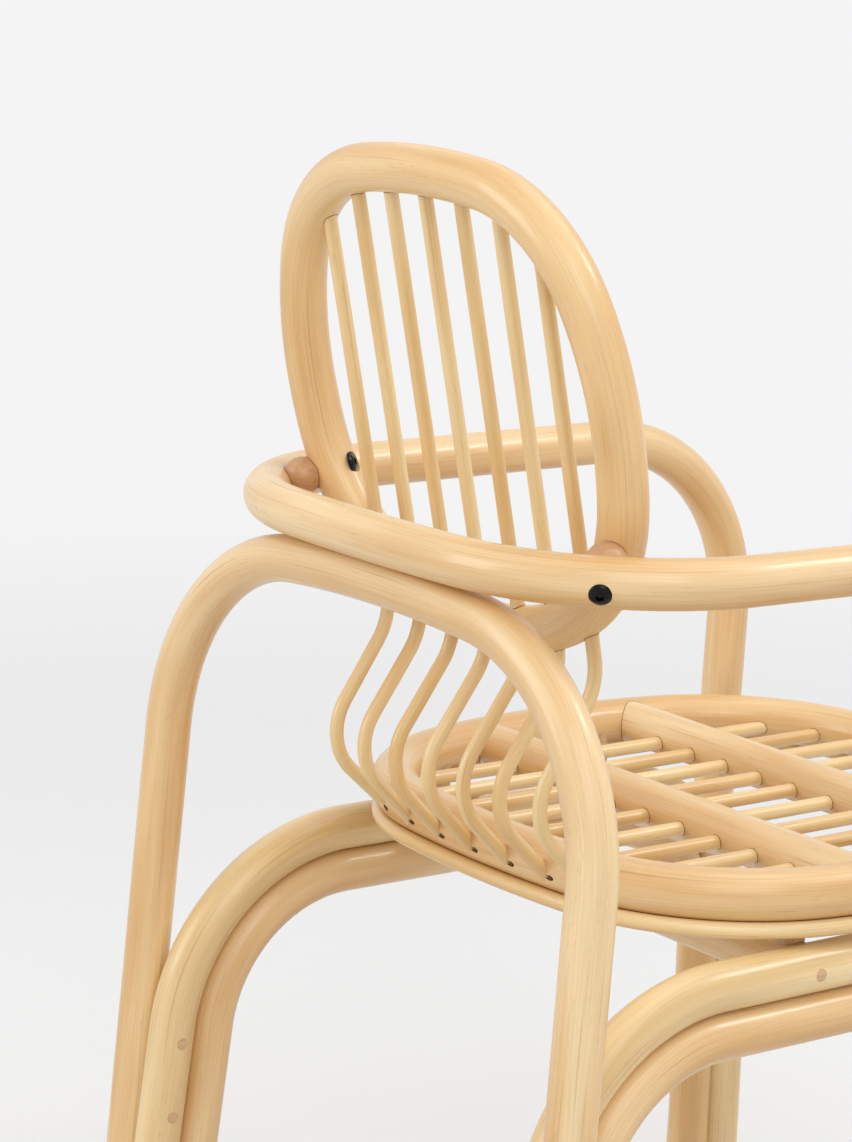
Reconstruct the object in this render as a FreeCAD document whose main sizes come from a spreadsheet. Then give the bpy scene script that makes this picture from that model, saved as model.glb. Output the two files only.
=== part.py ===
import FreeCAD, Part
import math
import os

# Rattan armchair. Millimetres, +Z up, front faces -Y, the sitter's left is +X.
# The origin is on the floor, in the middle of the footprint.

V = FreeCAD.Vector
doc = FreeCAD.newDocument("rattan_armchair")

# Driving sizes

SIZES = [
    ("pole_d", 32.0, "thick rattan pole of the frame"),
    ("ring_pole_d", 34.0, "thick rattan pole of the seat ring"),
    ("cane_d", 10.0, "thin rattan of the seat canes"),
    ("spindle_d", 9.5, "thin rattan of the spindles"),
    ("rim_d", 11.0, "thin rattan ring under the seat ring"),
    ("touch_gap", 0.3, "space between poles laid against each other"),
    ("hole_gap", 0.15, "space round a rod in its hole, on the radius"),
    ("seat_top_h", 440.0, "top of the seat ring above the floor"),
    ("ring_half_w", 213.0, "seat ring centreline, half width"),
    ("ring_half_d", 212.3, "seat ring centreline, half depth"),
    ("ring_end_rad", 800.0, "seat ring front and rear arcs"),
    ("ring_side_rad", 468.0, "seat ring side arcs"),
    ("ring_corner_rad", 138.0, "seat ring corners"),
    ("rim_tilt", 25.5, "rim under the ring, degrees outward from straight below"),
    ("crossbar_rear_y", 60.4, "rear crossbar behind the seat centre"),
    ("crossbar_front_y", 76.3, "front crossbar ahead of the seat centre"),
    ("cane_side_gap", 42.3, "clear space between the ring and the last seat cane"),
    ("cane_drop", 3.1, "seat canes below the ring centreline"),
    ("cane_stop", 6.0, "cane ends short of the ring centreline"),
    ("seat_lift", 15.0, "packing between arches and seat ring"),
    ("bearer_rear_y", 112.0, "rear bearer behind the seat centre"),
    ("bearer_front_y", 45.0, "front bearer ahead of the seat centre"),
    ("block_d", 18.0, "packing block diameter"),
    ("block_inset", 8.0, "packing block inboard of the ring centreline"),
    ("leg_out", 23.7, "leg centres outboard of the ring centreline, at its level"),
    ("leg_splay", 1.306, "legs lean in going up, degrees"),
    ("rear_leg_back", 135.6, "rear leg foot behind the rear of the ring centreline"),
    ("rear_rake", 3.925, "rear legs lean forward going up, degrees"),
    ("frame_corner_rad", 147.0, "corners of the rear leg frame"),
    ("frame_top_rad", 1288.0, "shallow arch of the rear leg frame top"),
    ("front_leg_in", 16.9, "front leg foot behind the front of the ring centreline"),
    ("front_rake", 0.54, "front legs lean forward going up, degrees"),
    ("foot_stock", 20.0, "pole below the floor line before it is cut flat"),
    ("arm_rise", 213.5, "arm centreline above the seat ring centreline"),
    ("arm_toe", 2.03, "arms draw together towards the rear, degrees"),
    ("arm_bend_rad", 141.0, "bend from arm to front leg"),
    ("loop_back", 105.1, "rear of the arm loop behind the rear of the ring centreline"),
    ("loop_rear_rad", 1384.0, "shallow curve of the arm loop rear"),
    ("loop_corner_rad", 137.8, "rear corners of the arm loop"),
    ("arch_rear_rake", 6.18, "rear run of the arches leans forward going up, degrees"),
    ("arch_front_rake", 1.52, "front run of the arches leans back going up, degrees"),
    ("arch_rear_lead", 3.7, "arch foot behind the rear leg foot"),
    ("arch_front_lead", 6.7, "arch foot ahead of the front leg foot"),
    ("arch_bend_rad", 142.5, "bends of the outer arches"),
    ("plug_d", 8.0, "wooden plug over a screw"),
    ("plug_l", 8.0, "depth of a plug hole"),
    ("plug_below_bend", 9.0, "upper leg plug below the end of the arch bend"),
    ("plug_pitch", 53.0, "lower leg plug below the upper one"),
    ("bolt_loop_angle", 44.0, "bolt on the loop corner, degrees round from the side"),
    ("bolt_turn", 46.0, "bolt axis turned outward from straight back, degrees"),
    ("bolt_dip", 19.3, "bolt axis dips towards the loop, degrees"),
    ("bolt_off_centre", 6.4, "bolt axis behind the hoop centreline"),
    ("bolt_let", 2.0, "bolt head let into the hoop, at its axis"),
    ("bolt_hoop_drop", 72.0, "bolt on the hoop below its widest level"),
    ("spacer_l", 13.0, "spacer between the two poles, along the bolt"),
    ("spacer_step", 4.0, "spacer thinner than a pole, on the radius"),
    ("bolt_d", 8.0, "connector bolt shank"),
    ("bolt_head_over", 3.0, "bolt and nut heads wider than the shank, on the radius"),
    ("bolt_edge_h", 1.0, "straight edge of a head"),
    ("bolt_dome_h", 3.0, "domed part of a head"),
    ("bolt_socket", 5.0, "hexagon socket across flats"),
    ("bolt_socket_floor", 1.6, "metal under the hexagon socket"),
    ("nut_wall", 1.5, "sleeve wall of the cap nut"),
    ("nut_sleeve_l", 20.0, "sleeve length of the cap nut"),
    ("hoop_tilt", 12.57, "hoop leans back, degrees"),
    ("hoop_up", 149.3, "hoop centreline, widest level to top"),
    ("hoop_down", 155.1, "hoop centreline, widest level to bottom"),
    ("hoop_top_rad", 526.0, "hoop top arc"),
    ("hoop_bottom_flat", 44.534154, "hoop bottom arc, radius beyond the half width"),
    ("hoop_upper_side_rad", 207.0, "hoop sides above the widest level"),
    ("hoop_lower_side_rad", 282.2, "hoop sides below the widest level"),
    ("hoop_upper_corner_rad", 110.1, "hoop upper corners"),
    ("hoop_lower_corner_rad", 118.7, "hoop lower corners"),
    ("spindle_side_gap", 32.25, "clear space between the hoop and the last spindle"),
    ("spindle_let", 12.0, "spindle ends inside hoop and ring"),
    ("spindle_turn_below", 18.0, "corner of the upper bend below the hoop bottom centreline"),
    ("spindle_knee_back", 62.7, "corner of the lower bend behind the ring centreline"),
    ("spindle_knee_rise", 47.5, "corner of the lower bend above the ring centreline"),
    ("spindle_knee_follow", 0.4, "share of the ring's curve that the lower bend follows"),
    ("spindle_entry_back", 12.0, "spindle axis behind the ring centreline, at its level"),
    ("spindle_upper_rad", 45.0, "upper bend of a spindle"),
    ("spindle_lower_rad", 38.0, "lower bend of a spindle"),
    ("nail_d", 3.0, "nail beside a spindle foot"),
    ("nail_l", 5.0, "depth of a nail in the ring"),
    ("nail_sink", 0.6, "nail head below the face of the ring"),
    ("nail_wall", 1.0, "wood between a nail and its spindle"),
    ("nail_dip", 14.0, "nail below the level of the ring centreline, degrees"),
]

sheet = doc.addObject("Spreadsheet::Sheet", "Sizes")
for row, (alias, value, note) in enumerate(SIZES, start=1):
    sheet.set("A%d" % row, alias)
    sheet.set("B%d" % row, repr(value))
    sheet.setAlias("B%d" % row, alias)
    sheet.set("C%d" % row, note)
doc.recompute()


def size(alias):
    return float(sheet.get(alias))


def tan_of(alias):
    return math.tan(math.radians(size(alias)))


CANE_ROWS = 9
SPINDLES = 7

pole_r = size("pole_d") / 2
ring_r = size("ring_pole_d") / 2
cane_r = size("cane_d") / 2
spindle_r = size("spindle_d") / 2
touch = size("touch_gap")
lay = size("pole_d") + touch

# Small geometry helpers, in a plane, with points as pairs


def on_circle(centre, rad, angle):
    return (centre[0] + rad * math.cos(angle), centre[1] + rad * math.sin(angle))


def angle_of(start, end):
    return math.atan2(end[1] - start[1], end[0] - start[0])


def quarter(half_w, half_h, end_rad, side_rad, corner_rad):
    """Three tangent arcs from (half_w, 0) to (0, half_h): side, corner, end."""
    side = (half_w - side_rad, 0.0)
    end = (0.0, half_h - end_rad)
    near = side_rad - corner_rad
    far = end_rad - corner_rad
    gap = math.hypot(end[0] - side[0], end[1] - side[1])
    along = (gap * gap + near * near - far * far) / (2 * gap)
    across = math.sqrt(near * near - along * along)
    ux = (end[0] - side[0]) / gap
    uy = (end[1] - side[1]) / gap
    corners = []
    for sign in (1, -1):
        corners.append((side[0] + ux * along - sign * uy * across, side[1] + uy * along + sign * ux * across))
    corner = max(corners, key=lambda point: point[0] + point[1])
    first = angle_of(side, corner)
    second = angle_of(end, corner)
    return [
        (side, side_rad, 0.0, first),
        (corner, corner_rad, first, second),
        (end, end_rad, second, math.pi / 2),
    ]


def mirror_x(arcs):
    turned = []
    for centre, rad, start, stop in reversed(arcs):
        turned.append(((-centre[0], centre[1]), rad, math.pi - stop, math.pi - start))
    return turned


def mirror_y(arcs):
    turned = []
    for centre, rad, start, stop in reversed(arcs):
        turned.append(((centre[0], -centre[1]), rad, -stop, -start))
    return turned


def oval(upper, lower):
    """Closed loop of arcs, anticlockwise from (half_w, 0)."""
    return upper + mirror_x(upper) + mirror_x(mirror_y(lower)) + mirror_y(lower)


def end_at(arcs, across):
    """Height of a quarter's centreline above a point |across| from its middle."""
    across = abs(across)
    for centre, rad, start, stop in arcs:
        if across >= on_circle(centre, rad, stop)[0] or stop == arcs[-1][3]:
            return centre[1] + math.sqrt(rad * rad - (across - centre[0]) ** 2)
    return 0.0


def end_facing(arcs, across):
    """Direction, square to a quarter's centreline, at a point across from its middle."""
    for centre, rad, start, stop in arcs:
        if abs(across) >= on_circle(centre, rad, stop)[0] or stop == arcs[-1][3]:
            sine = (abs(across) - centre[0]) / rad
            return (math.copysign(sine, across), math.sqrt(1 - sine * sine))
    return (0.0, 1.0)


def side_at(arcs, along):
    """Half width of a quarter's centreline at a point |along| from its middle."""
    along = abs(along)
    for centre, rad, start, stop in reversed(arcs):
        if along >= on_circle(centre, rad, start)[1]:
            return centre[0] + math.sqrt(rad * rad - (along - centre[1]) ** 2)
    return 0.0


def arch_corner(half_w, lean, top_rad, corner_rad):
    """Corner arc between a shallow top arc with its apex at (0, 0) and a straight leg.

    The second number of a pair runs down from the apex. The leg passes (half_w, 0)
    and gains lean across for each unit down. Gives the corner's centre and its two
    tangent points, on the top arc and on the leg.
    """
    norm = math.hypot(1.0, lean)
    inward = (-1.0 / norm, lean / norm)
    base = (half_w + inward[0] * corner_rad, inward[1] * corner_rad)
    ex = base[0]
    ey = base[1] - top_rad
    qa = lean * lean + 1.0
    qb = 2 * (ex * lean + ey)
    qc = ex * ex + ey * ey - (top_rad - corner_rad) ** 2
    step = (-qb - math.sqrt(qb * qb - 4 * qa * qc)) / (2 * qa)
    centre = (base[0] + step * lean, base[1] + step)
    reach = top_rad / (top_rad - corner_rad)
    on_top = (centre[0] * reach, top_rad + (centre[1] - top_rad) * reach)
    on_leg = (centre[0] - inward[0] * corner_rad, centre[1] - inward[1] * corner_rad)
    return centre, on_top, on_leg


# Edges of a path in space


def line(start, end):
    return Part.LineSegment(start, end).toShape()


def arc(start, middle, end):
    return Part.Arc(start, middle, end).toShape()


def arcs_to_edges(arcs, place):
    edges = []
    for centre, rad, start, stop in arcs:
        points = [place(on_circle(centre, rad, a)) for a in (start, (start + stop) / 2, stop)]
        edges.append(arc(*points))
    return edges


def bend(before, corner, after, rad):
    """Arc of the given radius that rounds a corner: start, middle and end."""
    back = (before - corner).normalize()
    ahead = (after - corner).normalize()
    half = back.getAngle(ahead) / 2
    run = rad / math.tan(half)
    middle_dir = (back + ahead).normalize()
    middle = corner + middle_dir * (rad / math.sin(half) - rad)
    return corner + back * run, middle, corner + ahead * run


def rounded(points, radii):
    """Straight runs through the points, each inner point rounded by its radius."""
    edges = []
    last = points[0]
    for index in range(1, len(points) - 1):
        start, middle, end = bend(points[index - 1], points[index], points[index + 1], radii[index - 1])
        edges.append(line(last, start))
        edges.append(arc(start, middle, end))
        last = end
    edges.append(line(last, points[-1]))
    return edges


# Document objects


def keep_name(label):
    return label.replace(" ", "_")


def bind(thing, prop, text):
    thing.setExpression(prop, text)


def turned_to(direction, point):
    return FreeCAD.Placement(point, FreeCAD.Rotation(V(0, 0, 1), direction))


def path(label, edges):
    spine = doc.addObject("Part::Feature", keep_name(label) + "_path")
    spine.Shape = Part.Wire(edges)
    return spine


def pole(label, spine, radius_text):
    """Round pole along a path."""
    first = spine.Shape.Edges[0]
    begin = first.FirstParameter
    section = doc.addObject("Part::Circle", keep_name(label) + "_section")
    bind(section, "Radius", radius_text)
    section.Placement = turned_to(first.tangentAt(begin), first.valueAt(begin))
    body = doc.addObject("Part::Sweep", keep_name(label))
    body.Sections = [section]
    body.Spine = (spine, [])
    body.Solid = True
    body.Frenet = False
    body.Label = label
    return body


def rod(label, start, end, radius_text):
    """Straight round rod from point to point."""
    body = doc.addObject("Part::Cylinder", keep_name(label))
    bind(body, "Radius", radius_text)
    body.Height = (end - start).Length
    body.Placement = turned_to(end - start, start)
    body.Label = label
    return body


def cut(label, base, *groups):
    """Base less each group of tools in turn. The tools of a group are clear of each other."""
    base.Label = label + "_blank"
    for step, tools in enumerate(groups, start=1):
        tool = tools[0]
        if len(tools) > 1:
            tool = doc.addObject("Part::Compound", "%s_tools_%d" % (label, step))
            tool.Links = tools
        result = doc.addObject("Part::Cut", "%s_cut_%d" % (label, step))
        result.Base = base
        result.Tool = tool
        base = result
    base.Label = label
    return base


nodes = []


def keep(thing):
    nodes.append(thing)
    return thing


# Heights and planes that several pieces share

ring_z = size("seat_top_h") - ring_r
arch_z = ring_z - ring_r - size("seat_lift") - pole_r
arm_z = ring_z + size("arm_rise")
splay = tan_of("leg_splay")
rake_rear = tan_of("rear_rake")
rake_front = tan_of("front_rake")

rear_foot = size("ring_half_d") + size("rear_leg_back")
front_foot = size("ring_half_d") - size("front_leg_in")
arch_rear_foot = rear_foot + size("arch_rear_lead")
arch_front_foot = front_foot + size("arch_front_lead")
arch_rear_lean = tan_of("arch_rear_rake")
arch_front_lean = tan_of("arch_front_rake")
rear_reach = max(
    rear_foot + pole_r * math.hypot(1.0, rake_rear),
    arch_rear_foot + pole_r * math.hypot(1.0, arch_rear_lean),
)
front_reach = max(
    size("ring_half_d") + ring_r,
    arch_front_foot + pole_r * math.hypot(1.0, arch_front_lean),
)
seat_y = (front_reach - rear_reach) / 2
foot_half_w = size("ring_half_w") + size("leg_out") + splay * ring_z


def leg_x(height):
    return foot_half_w - splay * height


def rear_leg_y(height):
    return seat_y + rear_foot - rake_rear * height


def front_leg_y(height):
    return seat_y - front_foot - rake_front * height


below = -size("foot_stock")
floor_tool = doc.addObject("Part::Box", "floor_tool")
floor_tool.Length = 4 * foot_half_w
floor_tool.Width = 4 * rear_foot
floor_tool.Height = -4 * below
floor_tool.Placement.Base = V(-2 * foot_half_w, -2 * rear_foot, 4 * below)

# Seat ring, its thin rim, and the larger ring that shapes what meets it

ring_arcs = quarter(
    size("ring_half_w"),
    size("ring_half_d"),
    size("ring_end_rad"),
    size("ring_side_rad"),
    size("ring_corner_rad"),
)
rim_lay = ring_r + size("rim_d") / 2 + touch
rim_out = rim_lay * math.sin(math.radians(size("rim_tilt")))
rim_z = ring_z - rim_lay * math.cos(math.radians(size("rim_tilt")))
rim_arcs = quarter(
    size("ring_half_w") + rim_out,
    size("ring_half_d") + rim_out,
    size("ring_end_rad") + rim_out,
    size("ring_side_rad") + rim_out,
    size("ring_corner_rad") + rim_out,
)


def in_seat(point):
    return V(point[0], seat_y + point[1], ring_z)


def in_rim(point):
    return V(point[0], seat_y + point[1], rim_z)


ring_path = path("seat_ring", arcs_to_edges(oval(ring_arcs, ring_arcs), in_seat))
rim_path = path("seat_rim", arcs_to_edges(oval(rim_arcs, rim_arcs), in_rim))
ring_blank = pole("seat_ring", ring_path, "Sizes.ring_pole_d / 2")
ring_seat = pole("seat_ring_clear", ring_path, "Sizes.ring_pole_d / 2 + Sizes.touch_gap")
keep(pole("seat_rim", rim_path, "Sizes.rim_d / 2"))

# Seat canes, front to back, and the holes that they lie in

cane_reach = size("ring_half_w") - ring_r - size("cane_side_gap") - cane_r
cane_pitch = 2 * cane_reach / (CANE_ROWS - 1)
cane_holes = []
for row in range(CANE_ROWS):
    x = (row - (CANE_ROWS - 1) / 2) * cane_pitch
    reach = end_at(ring_arcs, x) - size("cane_stop")
    height = ring_z - size("cane_drop")
    name = "seat_cane_%02d" % (row + 1)
    start = V(x, seat_y - reach, height)
    end = V(x, seat_y + reach, height)
    keep(rod(name, start, end, "Sizes.cane_d / 2"))
    extra = V(0, touch, 0)
    hole = rod(name + "_hole", start - extra, end + extra, "Sizes.cane_d / 2 + Sizes.hole_gap")
    cane_holes.append(hole)

# Crossbars in the plane of the ring, saddled on it and drilled for the canes

for name, y in (
    ("seat_crossbar_rear", size("crossbar_rear_y")),
    ("seat_crossbar_front", -size("crossbar_front_y")),
):
    half = side_at(ring_arcs, y)
    bar = rod(name, V(-half, seat_y + y, ring_z), V(half, seat_y + y, ring_z), "Sizes.pole_d / 2")
    keep(cut(name, bar, [ring_seat], cane_holes))

# Arm loop: front leg, bend, arm, round the rear, arm, bend, front leg

arm_front_y = front_leg_y(arm_z)
arm_lean = tan_of("arm_toe")
rear_y = seat_y + size("ring_half_d") + size("loop_back")
arm_half_at_rear = leg_x(arm_z) - arm_lean * (rear_y - arm_front_y)
loop_corner, loop_on_rear, loop_on_arm = arch_corner(
    arm_half_at_rear, arm_lean, size("loop_rear_rad"), size("loop_corner_rad")
)


def in_loop(point):
    return V(point[0], rear_y - point[1], arm_z)


def to_side(point, side):
    return V(side * point.x, point.y, point.z)


loop_corner_mid = on_circle(
    loop_corner,
    size("loop_corner_rad"),
    (angle_of(loop_corner, loop_on_rear) + angle_of(loop_corner, loop_on_arm)) / 2,
)
front_end = V(leg_x(below), front_leg_y(below), below)
front_corner = V(leg_x(arm_z), arm_front_y, arm_z)
arm_end = in_loop(loop_on_arm)
bend_low, bend_mid, bend_high = bend(front_end, front_corner, arm_end, size("arm_bend_rad"))


def loop_half(side):
    return [
        line(to_side(front_end, side), to_side(bend_low, side)),
        arc(to_side(bend_low, side), to_side(bend_mid, side), to_side(bend_high, side)),
        line(to_side(bend_high, side), to_side(arm_end, side)),
        arc(
            to_side(arm_end, side),
            to_side(in_loop(loop_corner_mid), side),
            to_side(in_loop(loop_on_rear), side),
        ),
    ]


def other_way(edges):
    turned = []
    for edge in reversed(edges):
        first = edge.valueAt(edge.FirstParameter)
        last = edge.valueAt(edge.LastParameter)
        middle = edge.valueAt((edge.FirstParameter + edge.LastParameter) / 2)
        if edge.Curve.TypeId == "Part::GeomLine":
            turned.append(line(last, first))
        else:
            turned.append(arc(last, middle, first))
    return turned


rear_arc = arc(in_loop(loop_on_rear), V(0, rear_y, arm_z), to_side(in_loop(loop_on_rear), -1))
loop_path = path("arm_loop", loop_half(1) + [rear_arc] + other_way(loop_half(-1)))
loop_blank = pole("arm_loop", loop_path, "Sizes.pole_d / 2")
loop_clear = pole("arm_loop_clear", loop_path, "Sizes.pole_d / 2 + Sizes.touch_gap")

# Rear leg frame: an inverted U in a raked plane, its top laid under the loop

qa = 1.0 + rake_rear * rake_rear
qk = rear_y - rear_leg_y(0.0)
qb = -2 * arm_z + 2 * rake_rear * qk
qc = arm_z * arm_z + qk * qk - lay * lay
frame_z = (-qb - math.sqrt(qb * qb - 4 * qa * qc)) / (2 * qa)
rake_cos = math.cos(math.radians(size("rear_rake")))
frame_corner, frame_on_top, frame_on_leg = arch_corner(
    leg_x(frame_z), splay * rake_cos, size("frame_top_rad"), size("frame_corner_rad")
)


def in_frame(point):
    height = frame_z - point[1] * rake_cos
    return V(point[0], rear_leg_y(height), height)


frame_corner_mid = on_circle(
    frame_corner,
    size("frame_corner_rad"),
    (angle_of(frame_corner, frame_on_top) + angle_of(frame_corner, frame_on_leg)) / 2,
)
rear_end = V(leg_x(below), rear_leg_y(below), below)


def frame_half(side):
    return [
        line(to_side(rear_end, side), to_side(in_frame(frame_on_leg), side)),
        arc(
            to_side(in_frame(frame_on_leg), side),
            to_side(in_frame(frame_corner_mid), side),
            to_side(in_frame(frame_on_top), side),
        ),
    ]


frame_top = arc(in_frame(frame_on_top), in_frame((0.0, 0.0)), to_side(in_frame(frame_on_top), -1))
frame_path = path("rear_leg_frame", frame_half(1) + [frame_top] + other_way(frame_half(-1)))
frame_blank = pole("rear_leg_frame", frame_path, "Sizes.pole_d / 2")
keep(cut("rear_leg_frame", frame_blank, [floor_tool]))

# Side arches: the outer ones lie against the legs, the inner ones nest under them

splay_cos = math.cos(math.radians(size("leg_splay")))


def arch_x(height):
    return leg_x(height) - lay / splay_cos


def arch_rear_y(height):
    return seat_y + arch_rear_foot - arch_rear_lean * height


def arch_front_y(height):
    return seat_y - arch_front_foot + arch_front_lean * height


def arch_points(side, inset):
    top = arch_z - inset
    rear_in = inset * math.hypot(1.0, arch_rear_lean)
    front_in = inset * math.hypot(1.0, arch_front_lean)
    return [
        V(side * arch_x(below), arch_rear_y(below) - rear_in, below),
        V(side * arch_x(top), arch_rear_y(top) - rear_in, top),
        V(side * arch_x(top), arch_front_y(top) + front_in, top),
        V(side * arch_x(below), arch_front_y(below) + front_in, below),
    ]


def plug(label, blank, point, direction):
    """Plug set flush in a pole, and the hole that it fills."""
    out = point + direction * (2 * pole_r)
    seat = point + direction * (pole_r - size("plug_l"))
    tool = rod(label + "_hole", seat, out, "Sizes.plug_d / 2 + Sizes.hole_gap")
    stock = rod(label + "_stock", seat + direction * size("hole_gap"), out, "Sizes.plug_d / 2")
    flush = doc.addObject("Part::Common", label + "_flush")
    flush.Base = stock
    flush.Tool = blank
    flush.Label = label
    keep(flush)
    return tool


bend_rad = size("arch_bend_rad")
arch_line = arch_points(1, 0.0)
rear_bend = bend(arch_line[0], arch_line[1], arch_line[2], bend_rad)
front_bend = bend(arch_line[3], arch_line[2], arch_line[1], bend_rad)


def arch_height(y):
    """Height of the outer arch's centreline over a point of the floor."""
    into = max(y - rear_bend[2].y, front_bend[2].y - y, 0.0)
    return arch_z - splay_cos * (bend_rad - math.sqrt(bend_rad * bend_rad - into * into))


BEARERS = [("rear", seat_y + size("bearer_rear_y")), ("front", seat_y - size("bearer_front_y"))]
SIDES = [(1, "left"), (-1, "right")]
arch_clears = []
for side, hand in SIDES:
    outer_path = path("outer_arch_" + hand, rounded(arch_points(side, 0.0), [bend_rad, bend_rad]))
    inner_path = path("inner_arch_" + hand, rounded(arch_points(side, lay), [bend_rad - lay, bend_rad - lay]))
    outer = pole("outer_arch_" + hand, outer_path, "Sizes.pole_d / 2")
    inner = pole("inner_arch_" + hand, inner_path, "Sizes.pole_d / 2")
    arch_clears.append(pole("outer_arch_clear_" + hand, outer_path, "Sizes.pole_d / 2 + Sizes.touch_gap"))
    keep(cut("inner_arch_" + hand, inner, [floor_tool]))
    outward = V(side, 0, 0)
    holes = []
    for level, lower in (("high", 0.0), ("low", size("plug_pitch"))):
        for end, bend_end, run_y in (("rear", rear_bend, arch_rear_y), ("front", front_bend, arch_front_y)):
            height = bend_end[0].z - size("plug_below_bend") - lower
            at_leg = V(side * arch_x(height), run_y(height), height)
            holes.append(plug("plug_%s_%s_%s" % (end, level, hand), outer, at_leg, outward * -1))
    for end, y in BEARERS:
        at_bearer = V(side * arch_x(arch_height(y)), y, arch_height(y))
        holes.append(plug("plug_bearer_%s_%s" % (end, hand), outer, at_bearer, outward))
    keep(cut("outer_arch_" + hand, outer, [floor_tool], holes))

# Bearers across the chair, saddled between the outer arches, and the packing blocks on them

for end, y in BEARERS:
    name = "seat_bearer_" + end
    height = arch_height(y)
    left = V(arch_x(height), y, height)
    right = V(-arch_x(height), y, height)
    bar = rod(name, right, left, "Sizes.pole_d / 2")
    keep(cut(name, bar, arch_clears))
    bar_clear = rod(name + "_clear", right, left, "Sizes.pole_d / 2 + Sizes.touch_gap")
    for side, hand in SIDES:
        x = side * (side_at(ring_arcs, y - seat_y) - size("block_inset"))
        name = "seat_block_%s_%s" % (end, hand)
        block = rod(name, V(x, y, height), V(x, y, ring_z), "Sizes.block_d / 2")
        keep(cut(name, block, [ring_seat, bar_clear], arch_clears))

# Back hoop in its leaning plane, hung on the bolts through the loop's rear corners

tilt = math.radians(size("hoop_tilt"))
turn_out = math.radians(size("bolt_turn"))
dip = math.radians(size("bolt_dip"))
bolt_axis = V(math.sin(turn_out) * math.cos(dip), math.cos(turn_out) * math.cos(dip), -math.sin(dip))
loop_angle = math.radians(size("bolt_loop_angle"))
bolt_on_loop = in_loop(on_circle(loop_corner, size("loop_corner_rad"), -loop_angle))
bolt_on_hoop = bolt_on_loop - bolt_axis * (size("pole_d") + size("spacer_l"))
hoop_side = bolt_on_hoop + V(math.cos(turn_out), -math.sin(turn_out), 0) * size("bolt_off_centre")
bolt_drop = size("bolt_hoop_drop")
hoop_y = hoop_side.y + bolt_drop * math.sin(tilt)
hoop_z = hoop_side.z + bolt_drop * math.cos(tilt)


def lower_hoop(half_w):
    return quarter(
        half_w,
        size("hoop_down"),
        half_w + size("hoop_bottom_flat"),
        size("hoop_lower_side_rad"),
        size("hoop_lower_corner_rad"),
    )


# The hoop is as wide as brings its side beside the bolt.
hoop_half_w = hoop_side.x
for _ in range(30):
    hoop_half_w += hoop_side.x - side_at(lower_hoop(hoop_half_w), bolt_drop)
hoop_lower = lower_hoop(hoop_half_w)
hoop_upper = quarter(
    hoop_half_w,
    size("hoop_up"),
    size("hoop_top_rad"),
    size("hoop_upper_side_rad"),
    size("hoop_upper_corner_rad"),
)


def in_hoop(point):
    return V(point[0], hoop_y + point[1] * math.sin(tilt), hoop_z + point[1] * math.cos(tilt))


hoop_path = path("back_hoop", arcs_to_edges(oval(hoop_upper, hoop_lower), in_hoop))
hoop_blank = pole("back_hoop", hoop_path, "Sizes.pole_d / 2")
hoop_clear = pole("back_hoop_clear", hoop_path, "Sizes.pole_d / 2 + Sizes.touch_gap")

# Spindles: down the hoop's plane, through its bottom, back, then forward into the ring

spindle_reach = hoop_half_w - pole_r - size("spindle_side_gap") - spindle_r
spindle_pitch = 2 * spindle_reach / (SPINDLES - 1)
spindle_holes = []
nail_holes = []
nail_aside = spindle_r + size("nail_d") / 2 + size("nail_wall")
nail_dip = math.radians(size("nail_dip"))
drive = V(0, math.cos(nail_dip), -math.sin(nail_dip))
for count in range(SPINDLES):
    x = (count - (SPINDLES - 1) / 2) * spindle_pitch
    ring_back = end_at(ring_arcs, x)
    drop = size("ring_half_d") - ring_back
    knee_y = seat_y + size("ring_half_d") + size("spindle_knee_back") - size("spindle_knee_follow") * drop
    knee = V(x, knee_y, ring_z + size("spindle_knee_rise"))
    turn = in_hoop((x, -size("hoop_down") - size("spindle_turn_below")))
    top = in_hoop((x, end_at(hoop_upper, x) - pole_r + size("spindle_let")))
    entry = V(x, seat_y + ring_back + size("spindle_entry_back"), ring_z)
    ahead = (entry - knee).normalize()
    to_axis = V(0, size("spindle_entry_back"), 0)
    along = to_axis.dot(ahead)
    aside = to_axis.Length ** 2 - along * along
    surface = entry - ahead * (along + math.sqrt(ring_r * ring_r - aside))
    foot = surface + ahead * size("spindle_let")
    up = (top - turn).normalize()
    radii = [size("spindle_upper_rad"), size("spindle_lower_rad")]
    name = "back_spindle_%d" % (count + 1)
    keep(pole(name, path(name, rounded([top, turn, knee, foot], radii)), "Sizes.spindle_d / 2"))
    longer = rounded([top + up * touch, turn, knee, foot + ahead * touch], radii)
    hole = pole(name + "_hole", path(name + "_hole", longer), "Sizes.spindle_d / 2 + Sizes.hole_gap")
    spindle_holes.append(hole)
    nail_x = x - nail_aside
    slant = end_facing(ring_arcs, nail_x)[0] * math.cos(nail_dip)
    face = ring_r / math.sqrt(1 - slant * slant)
    middle = in_seat((nail_x, end_at(ring_arcs, nail_x)))
    nail_end = middle + drive * (face - size("nail_l"))
    name = "spindle_nail_%d" % (count + 1)
    keep(rod(name, nail_end, middle + drive * (face - size("nail_sink")), "Sizes.nail_d / 2"))
    mouth = middle + drive * (2 * face)
    nail_holes.append(rod(name + "_hole", nail_end - drive * touch, mouth, "Sizes.nail_d / 2 + Sizes.hole_gap"))

keep(cut("seat_ring", ring_blank, cane_holes, *[[hole] for hole in spindle_holes], nail_holes))

# Bolted joints between hoop and loop: spacer, connector bolt, cap nut and their holes

head_r = size("bolt_d") / 2 + size("bolt_head_over")
head_h = size("bolt_edge_h") + size("bolt_dome_h")
bolt_depth = math.sqrt(pole_r * pole_r - size("bolt_off_centre") ** 2) - size("bolt_let")
nut_depth = math.sqrt(pole_r * pole_r - (head_r + touch) ** 2)
dome = size("bolt_dome_h")
dome_rad = (head_r * head_r + dome * dome) / (2 * dome)
shank_holes = []
sleeve_holes = []
bolt_flats = []
nut_flats = []


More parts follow.
